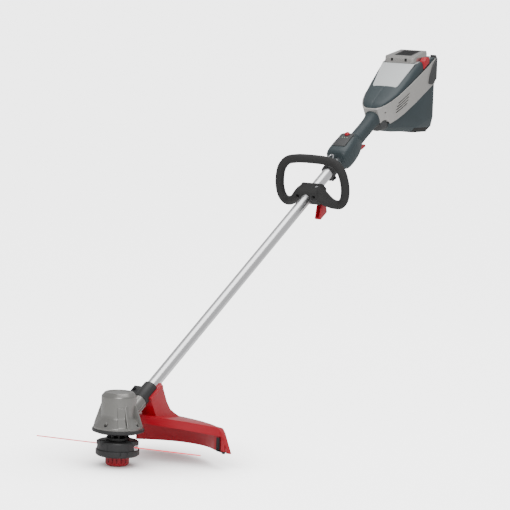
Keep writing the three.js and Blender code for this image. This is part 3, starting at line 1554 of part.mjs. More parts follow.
function terminalBlock() {
  const base = solid(box(1282, 1320, -18, 18, BASE_Z + SHELL + GAP, BATTERY_BOTTOM - GAP));
  const slots = [-10, 0, 10].map((y) => {
    return solid(box(1286, 1316, y - 1.5, y + 1.5, BATTERY_BOTTOM - 12, BATTERY_BOTTOM + 5));
  });
  return without(base, ...slots);
}

// ---------------------------------------------------------------- assembly
// Adds a piece that goes with the rear end of the tube, wherever that is.
function addRear(name, shape, colour) {
  const shift = ALONG.clone().multiplyScalar(TUBE_END - REAR_DATUM);
  addPiece(name, shape.translate(shift.toArray()), colour);
}

function build() {
  addPiece("bump_knob", bumpKnob(), "red");
  addPiece("spool_cover", spoolCover(), "black");
  addPiece("spool_case", spoolCase(), "black");
  addPiece("line_spool", innerSpool(), "black");
  addPiece("wound_line", woundLine(), "red");
  addPiece("bump_spring", bumpSpring(), "steel");
  addPiece("eyelet_left", eyelet(0), "steel");
  addPiece("eyelet_right", eyelet(Math.PI), "steel");
  addPiece("cutting_line_left", freeLine(0), "red");
  addPiece("cutting_line_right", freeLine(Math.PI), "red");
  addPiece("cooling_fan", coolingFan(), "black");
  addPiece("spindle", spindle(), "steel");
  addPiece("spindle_nut", spindleNut(), "steel");
  addPiece("bearing_upper", bearing(UPPER_BEARING_Z), "steel");
  addPiece("bearing_lower", bearing(LOWER_BEARING_Z), "steel");
  addPiece("rotor", rotor(), "steel");
  addPiece("stator_core", statorCore(), "steel");
  addPiece("winding_upper", windingRing(STATOR_TOP + GAP, STATOR_TOP + 7), "copper");
  addPiece("winding_lower", windingRing(STATOR_BOTTOM - GAP, STATOR_BOTTOM - 5), "copper");
  addPiece("motor_skirt", skirt(), "black");
  addPiece("motor_housing", motorHousing(), "motor");
  addPiece("shaft_collar", shaftCollar(), "black");
  addPiece("guard", guard(), "red");
  addPiece("cutter_blade", cutterBlade(), "black");
  const bladeScrew = facing(new THREE.Vector3(...BLADE_BOSS, 34.2), new THREE.Vector3(0, 0, -1));
  addPiece("blade_screw", screw(4, 1.75, 14, bladeScrew), "steel");
  addPiece("collar_screw", screw(4, 1.9, 17, facing(shaftPoint(EAR_AT, EAR_BOLT, 11.3), ABOVE)), "steel");
  addPiece("shaft_tube", shaftTube(), "tube");
  addPiece("motor_cable", motorCable(), "black");
  addRear("loop_handle", loopHandle(), "black");
  addRear("clamp_jaw", clampJaw(), "black");
  addRear("cam_bolt", camBolt(), "steel");
  addRear("cam_lever", camLever(), "red");
  const jawScrew = facing(shaftPoint(SCREW_AT, -CAM_ACROSS, JAW_BOTTOM - GAP), ABOVE.clone().negate());
  addRear("clamp_screw", screw(4.5, 2.2, 39, jawScrew), "steel");
  addRear("harness_clamp", harnessClamp(), "black");
  addRear("harness_ring", harnessRing(), "steel");
  const ringScrew = facing(shaftPoint(RING_AT, -7.3, -RING_RADIUS - 4), ACROSS.clone().negate());
  addRear("harness_screw", screw(3.8, 1.9, 13, ringScrew), "steel");
  addRear("pod_shell", podShell(), "teal");
  addRear("control_panel", controlPanel(), "darkGrey");
  addRear("lock_button", thumbButton(), "red");
  addRear("trigger", trigger(), "red");
  addRear("trigger_pin", triggerPin(), "steel");
  addRear("trigger_switch", microswitch(), "black");
  addRear("grip_shell", gripShell(), "teal");
  addRear("grip_underside", gripUnderside(), "darkGrey");
  addRear("side_band", sideBand(), "silver");
  addRear("nose_cover", nose(), "darkGrey");
  addRear("lower_body", lowerBody(), "teal");
  addRear("base_pad", basePad(), "rubber");
  addRear("hood", hood(), "teal");
  addRear("top_deck", deck(), "lightGrey");
  addRear("battery_case", batteryCase(), "darkGrey");
  addRear("battery_cap", batteryCap(), "silver");
  addRear("battery_gauge", gaugePanel(), "black");
  addRear("battery_latch", batteryLatch(), "red");
  addRear("rear_bumper_left", rearBumper(-1), "rubber");
  addRear("rear_bumper_right", rearBumper(1), "rubber");
  addRear("motor_controller", motorController(), "board");
  addRear("terminal_block", terminalBlock(), "black");
}

build();

export default group;
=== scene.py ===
import math
import bmesh
import bpy
from mathutils import Matrix, Vector


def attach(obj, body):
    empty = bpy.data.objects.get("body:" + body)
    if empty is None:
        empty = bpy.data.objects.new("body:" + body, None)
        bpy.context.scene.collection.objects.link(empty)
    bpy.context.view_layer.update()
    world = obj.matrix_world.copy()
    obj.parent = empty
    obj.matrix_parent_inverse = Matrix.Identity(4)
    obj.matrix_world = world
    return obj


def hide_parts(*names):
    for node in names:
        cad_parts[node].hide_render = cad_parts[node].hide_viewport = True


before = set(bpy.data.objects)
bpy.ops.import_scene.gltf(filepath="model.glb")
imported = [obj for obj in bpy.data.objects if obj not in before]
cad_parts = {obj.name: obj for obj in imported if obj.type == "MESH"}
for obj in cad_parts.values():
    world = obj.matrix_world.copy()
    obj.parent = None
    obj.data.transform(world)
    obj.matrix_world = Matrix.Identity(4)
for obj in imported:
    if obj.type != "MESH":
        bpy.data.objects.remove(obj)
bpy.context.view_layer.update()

# ------------------------------------------------------------------ frame of the shaft, millimetres
MM = 0.001
SHAFT_SLOPE = math.radians(31)
AXIS_HEIGHT = 90  # where the shaft's axis crosses the spin axis
ALONG = Vector((math.cos(SHAFT_SLOPE), 0, math.sin(SHAFT_SLOPE)))
ABOVE = Vector((-math.sin(SHAFT_SLOPE), 0, math.cos(SHAFT_SLOPE)))
ACROSS = Vector((0, 1, 0))


def columns(first, second, third, origin):
    """Matrix whose columns are three axes and an origin."""
    turn = Matrix((first, second, third)).transposed().to_4x4()
    return Matrix.Translation(origin) @ turn


SHAFT = columns(ALONG, ACROSS, ABOVE, Vector((0, 0, AXIS_HEIGHT)))
# outlines drawn in (along, above), thickness across
SHAFT_SIDE = columns(ALONG, ABOVE, -ACROSS, Vector((0, 0, AXIS_HEIGHT)))
# outlines drawn in (X, Z), thickness across
SIDE = columns(Vector((1, 0, 0)), Vector((0, 0, 1)), Vector((0, -1, 0)), Vector((0, 0, 0)))
FLAT = Matrix.Identity(4)


def on_shaft(s, y, h):
    return SHAFT @ Vector((s, y, h))


# ------------------------------------------------------------------ mesh building, all in millimetres
def made(name, points, faces):
    mesh = bpy.data.meshes.new(name)
    mesh.from_pydata([Vector(p) * MM for p in points], [], faces)
    edit = bmesh.new()
    edit.from_mesh(mesh)
    bmesh.ops.remove_doubles(edit, verts=edit.verts, dist=1e-6)
    bmesh.ops.recalc_face_normals(edit, faces=edit.faces)
    edit.to_mesh(mesh)
    edit.free()
    piece = bpy.data.objects.new(name, mesh)
    bpy.context.scene.collection.objects.link(piece)
    return piece


def rounded(outline, radius, steps=4, closed=True):
    """The outline with each corner turned into an arc of about that radius."""
    result = []
    count = len(outline)
    for i, point in enumerate(outline):
        here = Vector(point)
        if not closed and i in (0, count - 1):
            result.append(tuple(here))
            continue
        before = Vector(outline[i - 1]) - here
        after = Vector(outline[(i + 1) % count]) - here
        reach = min(radius, before.length * 0.45, after.length * 0.45)
        start = here + before.normalized() * reach
        end = here + after.normalized() * reach
        for k in range(steps + 1):
            t = k / steps
            result.append(tuple(start * (1 - t) ** 2 + here * 2 * t * (1 - t) + end * t * t))
    return result


def prism(name, outline, low, high, matrix=FLAT, edge=0.0):
    """Extruded outline with its two rims bevelled by "edge"."""
    count = len(outline)
    middle = sum((Vector(p) for p in outline), Vector((0, 0))) / count
    levels = [(low, 0.0), (high, 0.0)]
    if edge:
        levels = [(low, edge), (low + edge * 0.3, edge * 0.3), (low + edge, 0.0)]
        levels += [(high - edge, 0.0), (high - edge * 0.3, edge * 0.3), (high, edge)]
    points = []
    for level, inset in levels:
        for p in outline:
            flat = Vector(p)
            reach = (flat - middle).length
            flat = middle + (flat - middle) * max(0.0, 1 - inset / max(reach, 1e-6))
            points.append(matrix @ Vector((flat.x, flat.y, level)))
    faces = [list(range(count))[::-1], [count * (len(levels) - 1) + i for i in range(count)]]
    for k in range(len(levels) - 1):
        for i in range(count):
            j = (i + 1) % count
            faces.append([count * k + i, count * k + j, count * (k + 1) + j, count * (k + 1) + i])
    return made(name, points, faces)


def lathe(name, profile, sides=96, matrix=FLAT, radius_at=None):
    """Closed profile of (radius, height) turned about the third axis."""
    points = []
    for i in range(sides):
        angle = 2 * math.pi * i / sides
        for r, z in profile:
            if radius_at:
                r = radius_at(r, z, angle)
            points.append(matrix @ Vector((r * math.cos(angle), r * math.sin(angle), z)))
    count = len(profile)
    faces = []
    for i in range(sides):
        for k in range(count):
            m = (k + 1) % count
            j = (i + 1) % sides
            faces.append([i * count + k, j * count + k, j * count + m, i * count + m])
    return made(name, points, faces)


def loft(name, rings):
    count = len(rings[0])
    points = [p for ring in rings for p in ring]
    faces = [list(range(count))[::-1], [count * (len(rings) - 1) + i for i in range(count)]]
    for k in range(len(rings) - 1):
        for i in range(count):
            j = (i + 1) % count
            faces.append([count * k + i, count * k + j, count * (k + 1) + j, count * (k + 1) + i])
    return made(name, points, faces)


def tube(name, points, radius, sides=24):
    """Round bar along a list of points."""
    rings = []
    across = None
    for i, point in enumerate(points):
        ahead = (points[min(i + 1, len(points) - 1)] - points[max(i - 1, 0)]).normalized()
        if across is None:
            across = ahead.orthogonal().normalized()
        across = (across - ahead * across.dot(ahead)).normalized()
        other = ahead.cross(across)
        ring = []
        for k in range(sides):
            angle = 2 * math.pi * k / sides
            ring.append(point + across * (radius * math.cos(angle)) + other * (radius * math.sin(angle)))
        rings.append(ring)
    return loft(name, rings)


def spline(points, steps):
    """Catmull-Rom curve through points, with "steps" stretches between neighbours."""
    result = []
    last = len(points) - 1
    for i in range(last):
        p0, p1 = points[max(i - 1, 0)], points[i]
        p2, p3 = points[i + 1], points[min(i + 2, last)]
        for k in range(steps):
            t = k / steps
            result.append(
                0.5 * ((p1 * 2) + (p2 - p0) * t + (p0 * 2 - p1 * 5 + p2 * 4 - p3) * t * t
                       + (p1 * 3 - p0 - p2 * 3 + p3) * t ** 3)
            )
    result.append(points[last].copy())
    return result


def smooth_table(table, position):
    """Value between the rows of [position, value, ...], eased by Catmull-Rom."""
    if position <= table[0][0]:
        return list(table[0][1:])
    last = len(table) - 1
    for i in range(last):
        a, b = table[i], table[i + 1]
        if position <= b[0]:
            t = (position - a[0]) / (b[0] - a[0])
            before, after = table[max(i - 1, 0)], table[min(i + 2, last)]
            out = []
            for k in range(1, len(a)):
                width = b[0] - a[0]
                m0 = (b[k] - before[k]) / max(b[0] - before[0], 1e-6) * width
                m1 = (after[k] - a[k]) / max(after[0] - a[0], 1e-6) * width
                t2, t3 = t * t, t ** 3
                out.append((2 * t3 - 3 * t2 + 1) * a[k] + (t3 - 2 * t2 + t) * m0
                           + (-2 * t3 + 3 * t2) * b[k] + (t3 - t2) * m1)
            return out
    return list(table[last][1:])


def applied(piece):
    """The piece with its modifiers applied."""
    bpy.context.view_layer.update()
    graph = bpy.context.evaluated_depsgraph_get()
    mesh = bpy.data.meshes.new_from_object(piece.evaluated_get(graph))
    old = piece.data
    piece.modifiers.clear()
    piece.data = mesh
    bpy.data.meshes.remove(old)
    return piece


def combine(piece, operation, tools):
    for tool in tools:
        cut = piece.modifiers.new("cut", "BOOLEAN")
        cut.object = tool
        cut.operation = operation
        cut.solver = "MANIFOLD"
    applied(piece)
    for tool in tools:
        bpy.data.objects.remove(tool)
    return piece


def cut(piece, *tools):
    return combine(piece, "DIFFERENCE", tools)


def join(piece, *tools):
    return combine(piece, "UNION", tools)


def keep(piece, *tools):
    return combine(piece, "INTERSECT", tools)


def block(x0, x1, y0, y1, z0, z1, matrix=FLAT):
    return prism("tool", [(x0, y0), (x1, y0), (x1, y1), (x0, y1)], z0, z1, matrix)


def rod(radius, start, end, sides=48):
    """Round cutter between two points."""
    return tube("tool", [start, end], radius, sides)


def edges_rounded(piece, width, segments=3, angle=28):
    edit = bmesh.new()
    edit.from_mesh(piece.data)
    bmesh.ops.dissolve_limit(edit, angle_limit=math.radians(0.6), verts=edit.verts, edges=edit.edges)
    edit.to_mesh(piece.data)
    edit.free()
    bevel = piece.modifiers.new("bevel", "BEVEL")
    bevel.width = width * MM
    bevel.segments = segments
    bevel.limit_method = "ANGLE"
    bevel.angle_limit = math.radians(angle)
    bevel.use_clamp_overlap = True
    bevel.miter_outer = "MITER_ARC"
    return applied(piece)


def shaded(piece, angle=32):
    piece.data.shade_smooth()
    piece.data.set_sharp_from_angle(angle=math.radians(angle))
    return piece


def copy_of(node, name):
    """A free copy of a CAD node's mesh, to be worked into a finished piece."""
    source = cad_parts[node]
    piece = bpy.data.objects.new(name, source.data.copy())
    piece.data.materials.clear()
    bpy.context.scene.collection.objects.link(piece)
    edit = bmesh.new()
    edit.from_mesh(piece.data)
    bmesh.ops.remove_doubles(edit, verts=edit.verts, dist=1e-6)
    edit.to_mesh(piece.data)
    edit.free()
    return piece


def placed(piece, body, material, replaces=(), angle=32):
    piece.data.materials.clear()
    piece.data.materials.append(material)
    shaded(piece, angle)
    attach(piece, body)
    if replaces:
        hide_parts(*replaces)
    return piece


# ------------------------------------------------------------------ camera
LENS = 204.7
CAMERA_AT = Vector((-5.49213, -3.82912, 1.27047))
CAMERA_AXES = (
    Vector((0.536943, -0.842893, 0.035)),
    Vector((0.077267, 0.090453, 0.9929)),
    Vector((-0.840073, -0.530427, 0.1137)),
)


def set_camera():
    camera = bpy.data.objects.new("camera", bpy.data.cameras.new("camera"))
    bpy.context.scene.collection.objects.link(camera)
    camera.data.lens = LENS
    camera.data.sensor_width = 36
    camera.data.clip_end = 200
    camera.matrix_world = columns(*CAMERA_AXES, CAMERA_AT)
    bpy.context.scene.camera = camera


set_camera()


# ------------------------------------------------------------------ materials
def linear(red, green, blue):
    """Display colour, 0 to 255, as the linear colour that the shader takes."""
    def channel(value):
        value /= 255
        return value / 12.92 if value <= 0.04045 else ((value + 0.055) / 1.055) ** 2.4
    return (channel(red), channel(green), channel(blue), 1)


class Shader:
    """One material and the node tree behind it."""

    def __init__(self, name):
        self.material = bpy.data.materials.new(name)
        self.material.use_nodes = True
        self.tree = self.material.node_tree
        self.base = self.tree.nodes["Principled BSDF"]
        self.place = self.node("ShaderNodeTexCoord").outputs["Object"]

    def node(self, kind, **values):
        made_node = self.tree.nodes.new(kind)
        for key, value in values.items():
            setattr(made_node, key, value)
        return made_node

    def link(self, output, socket):
        self.tree.links.new(output, socket)

    def moved(self, scale=(1, 1, 1), turn=(0, 0, 0)):
        mapping = self.node("ShaderNodeMapping")
        self.link(self.place, mapping.inputs["Vector"])
        mapping.inputs["Rotation"].default_value = turn
        mapping.inputs["Scale"].default_value = scale
        return mapping.outputs["Vector"]

    def noise(self, scale, detail=3.0, rough=0.55, vector=None):
        texture = self.node("ShaderNodeTexNoise")
        texture.inputs["Scale"].default_value = scale
        texture.inputs["Detail"].default_value = detail
        texture.inputs["Roughness"].default_value = rough
        self.link(vector or self.place, texture.inputs["Vector"])
        return texture.outputs["Fac"]

    def cells(self, scale, vector=None):
        texture = self.node("ShaderNodeTexVoronoi")
        texture.inputs["Scale"].default_value = scale
        self.link(vector or self.place, texture.inputs["Vector"])
        return texture.outputs["Distance"]

    def ramp(self, factor, low, high, start=0.35, end=0.65):
        ramp = self.node("ShaderNodeValToRGB")
        ramp.color_ramp.elements[0].position = start
        ramp.color_ramp.elements[1].position = end
        ramp.color_ramp.elements[0].color = low
        ramp.color_ramp.elements[1].color = high
        self.link(factor, ramp.inputs["Fac"])
        return ramp.outputs["Color"]

    def span(self, factor, low, high):
        span = self.node("ShaderNodeMapRange")
        span.inputs["To Min"].default_value = low
        span.inputs["To Max"].default_value = high
        self.link(factor, span.inputs["Value"])
        return span.outputs["Result"]

    def colour(self, output):
        self.link(output, self.base.inputs["Base Color"])

    def roughness(self, output):
        self.link(output, self.base.inputs["Roughness"])

    def bumps(self, *heights):
        """Stacks (height output, strength, distance in millimetres)."""
        normal = None
        for height, strength, distance in heights:
            bump = self.node("ShaderNodeBump")
            bump.inputs["Strength"].default_value = strength
            bump.inputs["Distance"].default_value = distance * MM
            self.link(height, bump.inputs["Height"])
            if normal:
                self.link(normal, bump.inputs["Normal"])
            normal = bump.outputs["Normal"]
        self.link(normal, self.base.inputs["Normal"])

    def set(self, **sockets):
        for name, value in sockets.items():
            self.base.inputs[name.replace("_", " ")].default_value = value
        return self


def shade_of(colour, factor):
    return tuple(min(1, c * factor) for c in colour[:3]) + (1,)


def plastic(name, colour, rough, grain=0.25, spread=0.07, level=0.5):
    """Moulded plastic: fine spark-eroded grain, slow colour drift, handling marks in the gloss."""
    s = Shader(name)
    drift = s.noise(9, 4)
    s.colour(s.ramp(drift, shade_of(colour, 1 - spread), shade_of(colour, 1 + spread)))
    s.roughness(s.span(s.noise(38, 5, 0.6), rough - 0.06, rough + 0.08))
    s.bumps(
        (s.noise(1400, 2), grain * 0.5, 0.12),
        (s.cells(900), grain * 0.4, 0.1),
        (s.noise(60, 2), 0.05, 0.3))
    s.set(Specular_IOR_Level=level)
    return s.material


def bare_metal(name, colour, rough, scale, turn=(0, 0, 0), streak=0.3, spread=0.05, metallic=1.0):
    """Metal with drawn or turned marks: noise stretched along one direction."""
    s = Shader(name)
    lines = s.noise(1, 4, 0.6, s.moved(scale, turn))
    s.colour(s.ramp(lines, shade_of(colour, 1 - spread), shade_of(colour, 1 + spread), 0.3, 0.7))
    s.roughness(s.span(lines, rough - 0.05, rough + 0.07))
    s.bumps((lines, streak, 0.04), (s.noise(25, 3), 0.04, 0.4))
    s.set(Metallic=metallic)
    return s.material


def painted_casting(name, colour, rough, metallic, grain=0.25):
    """Satin silver paint over a casting: soft orange peel and metal flake."""
    s = Shader(name)
    flake = s.noise(1600, 1)
    s.colour(s.ramp(flake, shade_of(colour, 0.93), shade_of(colour, 1.07), 0.4, 0.6))
    s.roughness(s.span(s.noise(45, 4), rough - 0.05, rough + 0.06))
    s.bumps((s.noise(160, 3), grain * 0.5, 0.12), (s.noise(1100, 2), grain * 0.4, 0.04))
    s.set(Metallic=metallic)
    return s.material


TEAL = plastic("teal_plastic", linear(48, 60, 64), 0.42, 0.3, 0.05)
TEAL_SOFT = plastic("teal_overmould", linear(50, 61, 65), 0.55, 0.5, 0.05)
RED = plastic("red_plastic", linear(180, 18, 38), 0.34, 0.15, 0.05)
RED_DEEP = plastic("red_plastic_deep", linear(164, 20, 36), 0.38, 0.15, 0.06)
BLACK = plastic("black_plastic", linear(44, 44, 45), 0.45, 0.35, 0.08)
BLACK_GLOSS = plastic("black_gloss_plastic", linear(26, 26, 27), 0.28, 0.12, 0.08)
RUBBER = plastic("black_rubber", linear(50, 50, 50), 0.72, 0.7, 0.08, 0.3)
DARK = plastic("dark_grey_plastic", linear(64, 65, 66), 0.55, 0.5, 0.06)
LIGHT = plastic("light_grey_plastic", linear(208, 212, 212), 0.35, 0.12, 0.015)
SILVER = painted_casting("silver_paint", linear(176, 174, 171), 0.36, 0.35)
CAP_SILVER = painted_casting("cap_silver", linear(176, 174, 171), 0.27, 0.75, 0.12)
CASTING = painted_casting("motor_casting", linear(142, 141, 138), 0.33, 0.75, 0.35)
TUBE = bare_metal("drawn_tube", linear(236, 236, 238), 0.24, (6, 900, 900), (0, SHAFT_SLOPE, 0), 0.18, 0.02)
STEEL = bare_metal("bright_steel", linear(205, 205, 208), 0.2, (300, 300, 1200), (0, 0, 0), 0.15, 0.04)
DARK_STEEL = bare_metal("blackened_steel", linear(60, 60, 62), 0.35, (300, 300, 900), (0, 0, 0), 0.2, 0.1)
COPPER = bare_metal("enamelled_copper", linear(170, 96, 52), 0.3, (900, 900, 60), (0, 0, 0), 0.4, 0.1)
LAMINATION = bare_metal("stator_steel", linear(120, 120, 124), 0.4, (20, 20, 4000), (0, 0, 0), 0.5, 0.12)
BOARD = plastic("potted_board", linear(28, 74, 50), 0.4, 0.3, 0.1)


def line_material():
    """Red nylon with a weak painted glow: red emission that lights the line though it is no lamp, so that the
    thin line keeps its colour on the bright floor.
    """
    s = Shader("nylon_line")
    s.colour(s.ramp(s.noise(9, 4), linear(206, 36, 52), linear(222, 44, 60)))
    s.roughness(s.span(s.noise(38, 5, 0.6), 0.26, 0.4))
    s.bumps((s.noise(1400, 2), 0.1, 0.12))
    # painted glow: the line gives off red light of its own though it is no lamp
    s.set(Emission_Color=linear(235, 24, 44), Emission_Strength=1.6)
    return s.material


LINE = line_material()


def light_material():
    s = Shader("status_light")
    s.colour(s.ramp(s.noise(400), linear(190, 230, 190), linear(225, 245, 225)))
    s.roughness(s.span(s.noise(200), 0.15, 0.25))
    return s.material


LAMP = light_material()


# ------------------------------------------------------------------ the two free cutting lines
LINE_HEIGHT = 45.5
LINE_RADIUS = 1.2
LINE_START = 42
LINE_TIP = 217
LINE_TURN = math.radians(7)


def cutting_line(name, node, turn):
    outward = Vector((math.sin(turn), -math.cos(turn), 0))
    steps = 24
    points = []
    for i in range(steps + 1):
        reach = LINE_START + (LINE_TIP - LINE_START) * i / steps
        points.append(outward * reach + Vector((0, 0, LINE_HEIGHT)))
    piece = tube(name, points, LINE_RADIUS, 12)
    placed(piece, "head", LINE, [node], 60)


cutting_line("line_left", "cutting_line_left", LINE_TURN)
cutting_line("line_right", "cutting_line_right", LINE_TURN + math.pi)


# ------------------------------------------------------------------ cutting head
KNOB_RADIUS = 28
KNOB_GROOVES = 16


def knob():
    def grooved(r, z, angle):
        if r < KNOB_RADIUS - 4 or z > 22:
            return r
        wave = 0.5 + 0.5 * math.cos(KNOB_GROOVES * angle)
        return r - 2.2 * wave ** 6 * min(1, (r - KNOB_RADIUS + 4) / 4) * min(1, (22 - z) / 2)

    outline = [
        (0.01, 0), (23, 0), (26.5, 2.5), (28, 6), (28, 27),
        (31, 27), (31, 30), (20, 30), (20, 8), (0.01, 8)]
    profile = rounded(outline[1:-2], 1.0, 3, False)
    wall = [(28, 6 + i * 2.0) for i in range(1, 9)]
    at = max(i for i, p in enumerate(profile) if p[1] <= 6.5)
    profile = [(0.01, 0)] + profile[:at + 1] + wall + profile[at + 1:] + [(20, 8), (0.01, 8)]
    piece = lathe("bump_knob_ribbed", profile, 192, FLAT, grooved)
    placed(piece, "bump_feed", RED_DEEP, ["bump_knob"])


def spool_cover():
    outline = [(28.8, 23), (47.5, 23), (51.5, 26.5), (51.5, 38), (49, 38), (49, 25.6), (28.8, 25.6)]
    piece = lathe("spool_cover_shell", rounded(outline, 1.1, 3), 144)
    tabs = []
    for i in range(2):
        turn = Matrix.Rotation(math.pi * i + 0.9, 4, "Z")
        tabs.append(block(46, 60, -9, -7.8, 27, 40, turn))
        tabs.append(block(46, 60, 7.8, 9, 27, 40, turn))
    cut(piece, *tabs)
    placed(piece, "head", BLACK, ["spool_cover"])


def spool_case():
    outline = [(48.5, 25.9), (48.5, 55), (47, 58.3), (44, 59), (4.4, 59), (4.4, 56.5), (46, 56.5), (46, 25.9)]
    piece = lathe("spool_case_shell", rounded(outline, 0.8, 3), 144)
    lugs = []
    for i in range(3):
        turn = Matrix.Rotation(2 * math.pi * i / 3 + 0.6, 4, "Z")
        shape = rounded([(30, -14), (50.2, -12.5), (51.9, -8), (51.9, 8), (50.2, 12.5), (30, 14)], 2.5, 4)
        lugs.append(prism("tool", shape, 51.5, 61.4, turn, 0.7))
    inner = lathe("tool", [(0.5, 50), (45.9, 50), (45.9, 56.4), (0.5, 56.4)], 96)
    join(piece, *lugs)
    fan_room = lathe("tool", [(0.3, 59.05), (29, 59.05), (29, 64), (0.3, 64)], 96)
    windows = []
    for turn in (LINE_TURN, LINE_TURN + math.pi):
        spin = Matrix.Rotation(turn, 4, "Z")
        windows.append(rod(6.8, spin @ Vector((0, -40, LINE_HEIGHT)), spin @ Vector((0, -60, LINE_HEIGHT))))
    grooves = []
    for i in range(6):
        turn = Matrix.Rotation(math.pi * i / 3 + 0.1, 4, "Z")
        grooves.append(block(48.0, 50, -0.5, 0.5, 39.5, 56, turn))
    cut(piece, inner, fan_room, *windows, *grooves)
    placed(piece, "head", BLACK, ["spool_case"])


def eyelet(name, node, turn):
    spin = Matrix.Rotation(turn, 4, "Z")
    facing = spin @ columns(
        Vector((1, 0, 0)), Vector((0, 0, 1)), Vector((0, -1, 0)), Vector((0, 0, LINE_HEIGHT)))
    low, high = 39.2 - LINE_HEIGHT, 52 - LINE_HEIGHT
    plate = rounded([(-10, low), (10, low), (10, high), (-10, high)], 3.5, 6)
    hoop = lathe("tool", rounded([(48.8, 30), (50.1, 30), (50.1, 60), (48.8, 60)], 0.3, 2), 192)
    piece = keep(prism(name, plate, 30, 60, facing), hoop)
    join(piece, lathe("tool", [(3.3, 45), (6.4, 45), (6.4, 49), (3.3, 49)], 48, facing))
    mouth = [(0.2, 44), (3.3, 44), (3.3, 48.4), (4.6, 50.4), (4.6, 54), (0.2, 54)]
    cut(piece, lathe("tool", mouth, 48, facing))
    placed(piece, "head", STEEL, [node])


def fan():
    piece = lathe("fan_wheel", rounded([
        (4.3, 59.7), (28, 59.7), (28, 65.4), (26.5, 67), (10, 67), (10, 75.4), (4.3, 75.4)], 0.6, 3), 96)
    blades = []
    for i in range(9):
        turn = Matrix.Rotation(2 * math.pi * i / 9 + 0.35, 4, "Z")
        outline = []
        for k in range(9):
            x = 9 + 16.5 * k / 8
            outline.append((x, 1.3 + 2.2 * math.sin(math.pi * k / 8)))
        for k in range(8, -1, -1):
            x = 9 + 16.5 * k / 8
            outline.append((x, -1.0 + 2.2 * math.sin(math.pi * k / 8)))
        blades.append(prism("tool", outline, 66, 75.3, turn, 0.3))
    join(piece, *blades)
    placed(piece, "head", BLACK, ["cooling_fan"])


knob()
spool_cover()
spool_case()
eyelet("eyelet_ferrule_left", "eyelet_left", LINE_TURN)
eyelet("eyelet_ferrule_right", "eyelet_right", LINE_TURN + math.pi)
fan()


# ------------------------------------------------------------------ motor
def motor_can():
    outside = [
        (0.3, 88.3), (58.5, 88.3), (58.3, 93), (42.2, 113), (41, 120), (41, 163), (39.8, 165.6),
        (33, 173), (26, 173), (25.5, 171.8), (0.3, 171.8)]
    profile = [outside[0]] + rounded(outside[1:-1], 1.6, 4, False) + [outside[-1]]
    piece = lathe("motor_can", profile, 144)
    parts = []
    for angle in (105, 285, 350, 60, 240):
        turn = Matrix.Rotation(math.radians(angle), 4, "Z") @ SIDE
        fin = rounded([(37, 88.4), (59.4, 88.4), (59.4, 96), (42.6, 145), (37, 148)], 2, 4)
        parts.append(prism("tool", fin, -3.5, 3.5, turn, 1.2))
    turn = Matrix.Rotation(math.radians(-136), 4, "Z") @ SIDE
    pad = rounded([(37, 88.4), (59.2, 88.4), (58.2, 96), (43.3, 116), (42.7, 140.2), (37, 142)], 1.2, 3)
    parts.append(prism("tool", pad, -9, 9, turn, 1.0))
    socket = lathe("tool", rounded([(1, 30), (17.6, 30), (17.6, 99), (1, 99)], 0.8, 3), 96, SHAFT_BARS)
    parts.append(socket)
    for angle in (20, 55, 90, 125, 160, 200, 235, 270, 305, 340):
        turn = SHAFT @ Matrix.Rotation(math.radians(angle), 4, "X")
        parts.append(prism("tool", [(48, -1.4), (96.5, -1.4), (96.5, 1.4), (48, 1.4)], 16.5, 19.2, turn, 0.6))
    join(piece, *parts)
    cuts = [lathe("tool", [(0.2, 80), (54, 80), (54, 92), (37.8, 104), (37.8, 161), (0.2, 161)], 96)]
    for angle in (-178, -88, 2, 92):
        turn = Matrix.Rotation(math.radians(angle), 4, "Z")
        at = turn @ Vector((51.5, 0, 0))
        cuts.append(rod(4.6, at + Vector((0, 0, 96)), at + Vector((0, 0, 130))))
    cuts.append(lathe("tool", [(1, 52), (14.3, 52), (14.3, 110), (1, 110)], 96, SHAFT_BARS))
    cuts.append(block(-80, 80, -80, 80, 60, 88.3))
    cut(piece, *cuts)
    placed(piece, "frame", CASTING, ["motor_housing"])
    for i, angle in enumerate((-178, -88, 2, 92)):
        turn = Matrix.Rotation(math.radians(angle), 4, "Z")
        at = turn @ Vector((51.5, 0, 96.1))
        outline = rounded([(1.5, 0), (3.6, 0), (3.6, 2.4), (1.5, 2.4), (1.5, 0.8)], 0.5, 3)
        head = lathe(f"can_screw_{i + 1}", outline, 48, Matrix.Translation(at))
        placed(head, "frame", DARK_STEEL)


SHAFT_BARS = SHAFT @ Matrix.Rotation(math.pi / 2, 4, "Y")


def skirt():
    outline = [
        (8, 77), (50.5, 77), (61.5, 81), (61.5, 86.5), (60, 88), (54.2, 88), (54.2, 83), (15, 83),
        (15, 97), (11.3, 97), (11.3, 89.7), (8, 89.7)]
    piece = lathe("motor_skirt_ring", rounded(outline, 1.0, 3), 144)
    slots = []
    for i in range(12):
        turn = Matrix.Rotation(math.pi * i / 6 + 0.2, 4, "Z")
        slots.append(prism("tool", rounded([(20, -3), (46, -6), (46, 6), (20, 3)], 2, 3), 70, 86, turn))
    cut(piece, *slots)
    placed(piece, "frame", BLACK, ["motor_skirt"])


motor_can()
skirt()


# ------------------------------------------------------------------ softened copies of carried-over pieces
def softened(node, name, body, material, width, segments=3, angle=28):
    piece = edges_rounded(copy_of(node, name), width, segments, angle)
    return placed(piece, body, material, [node])


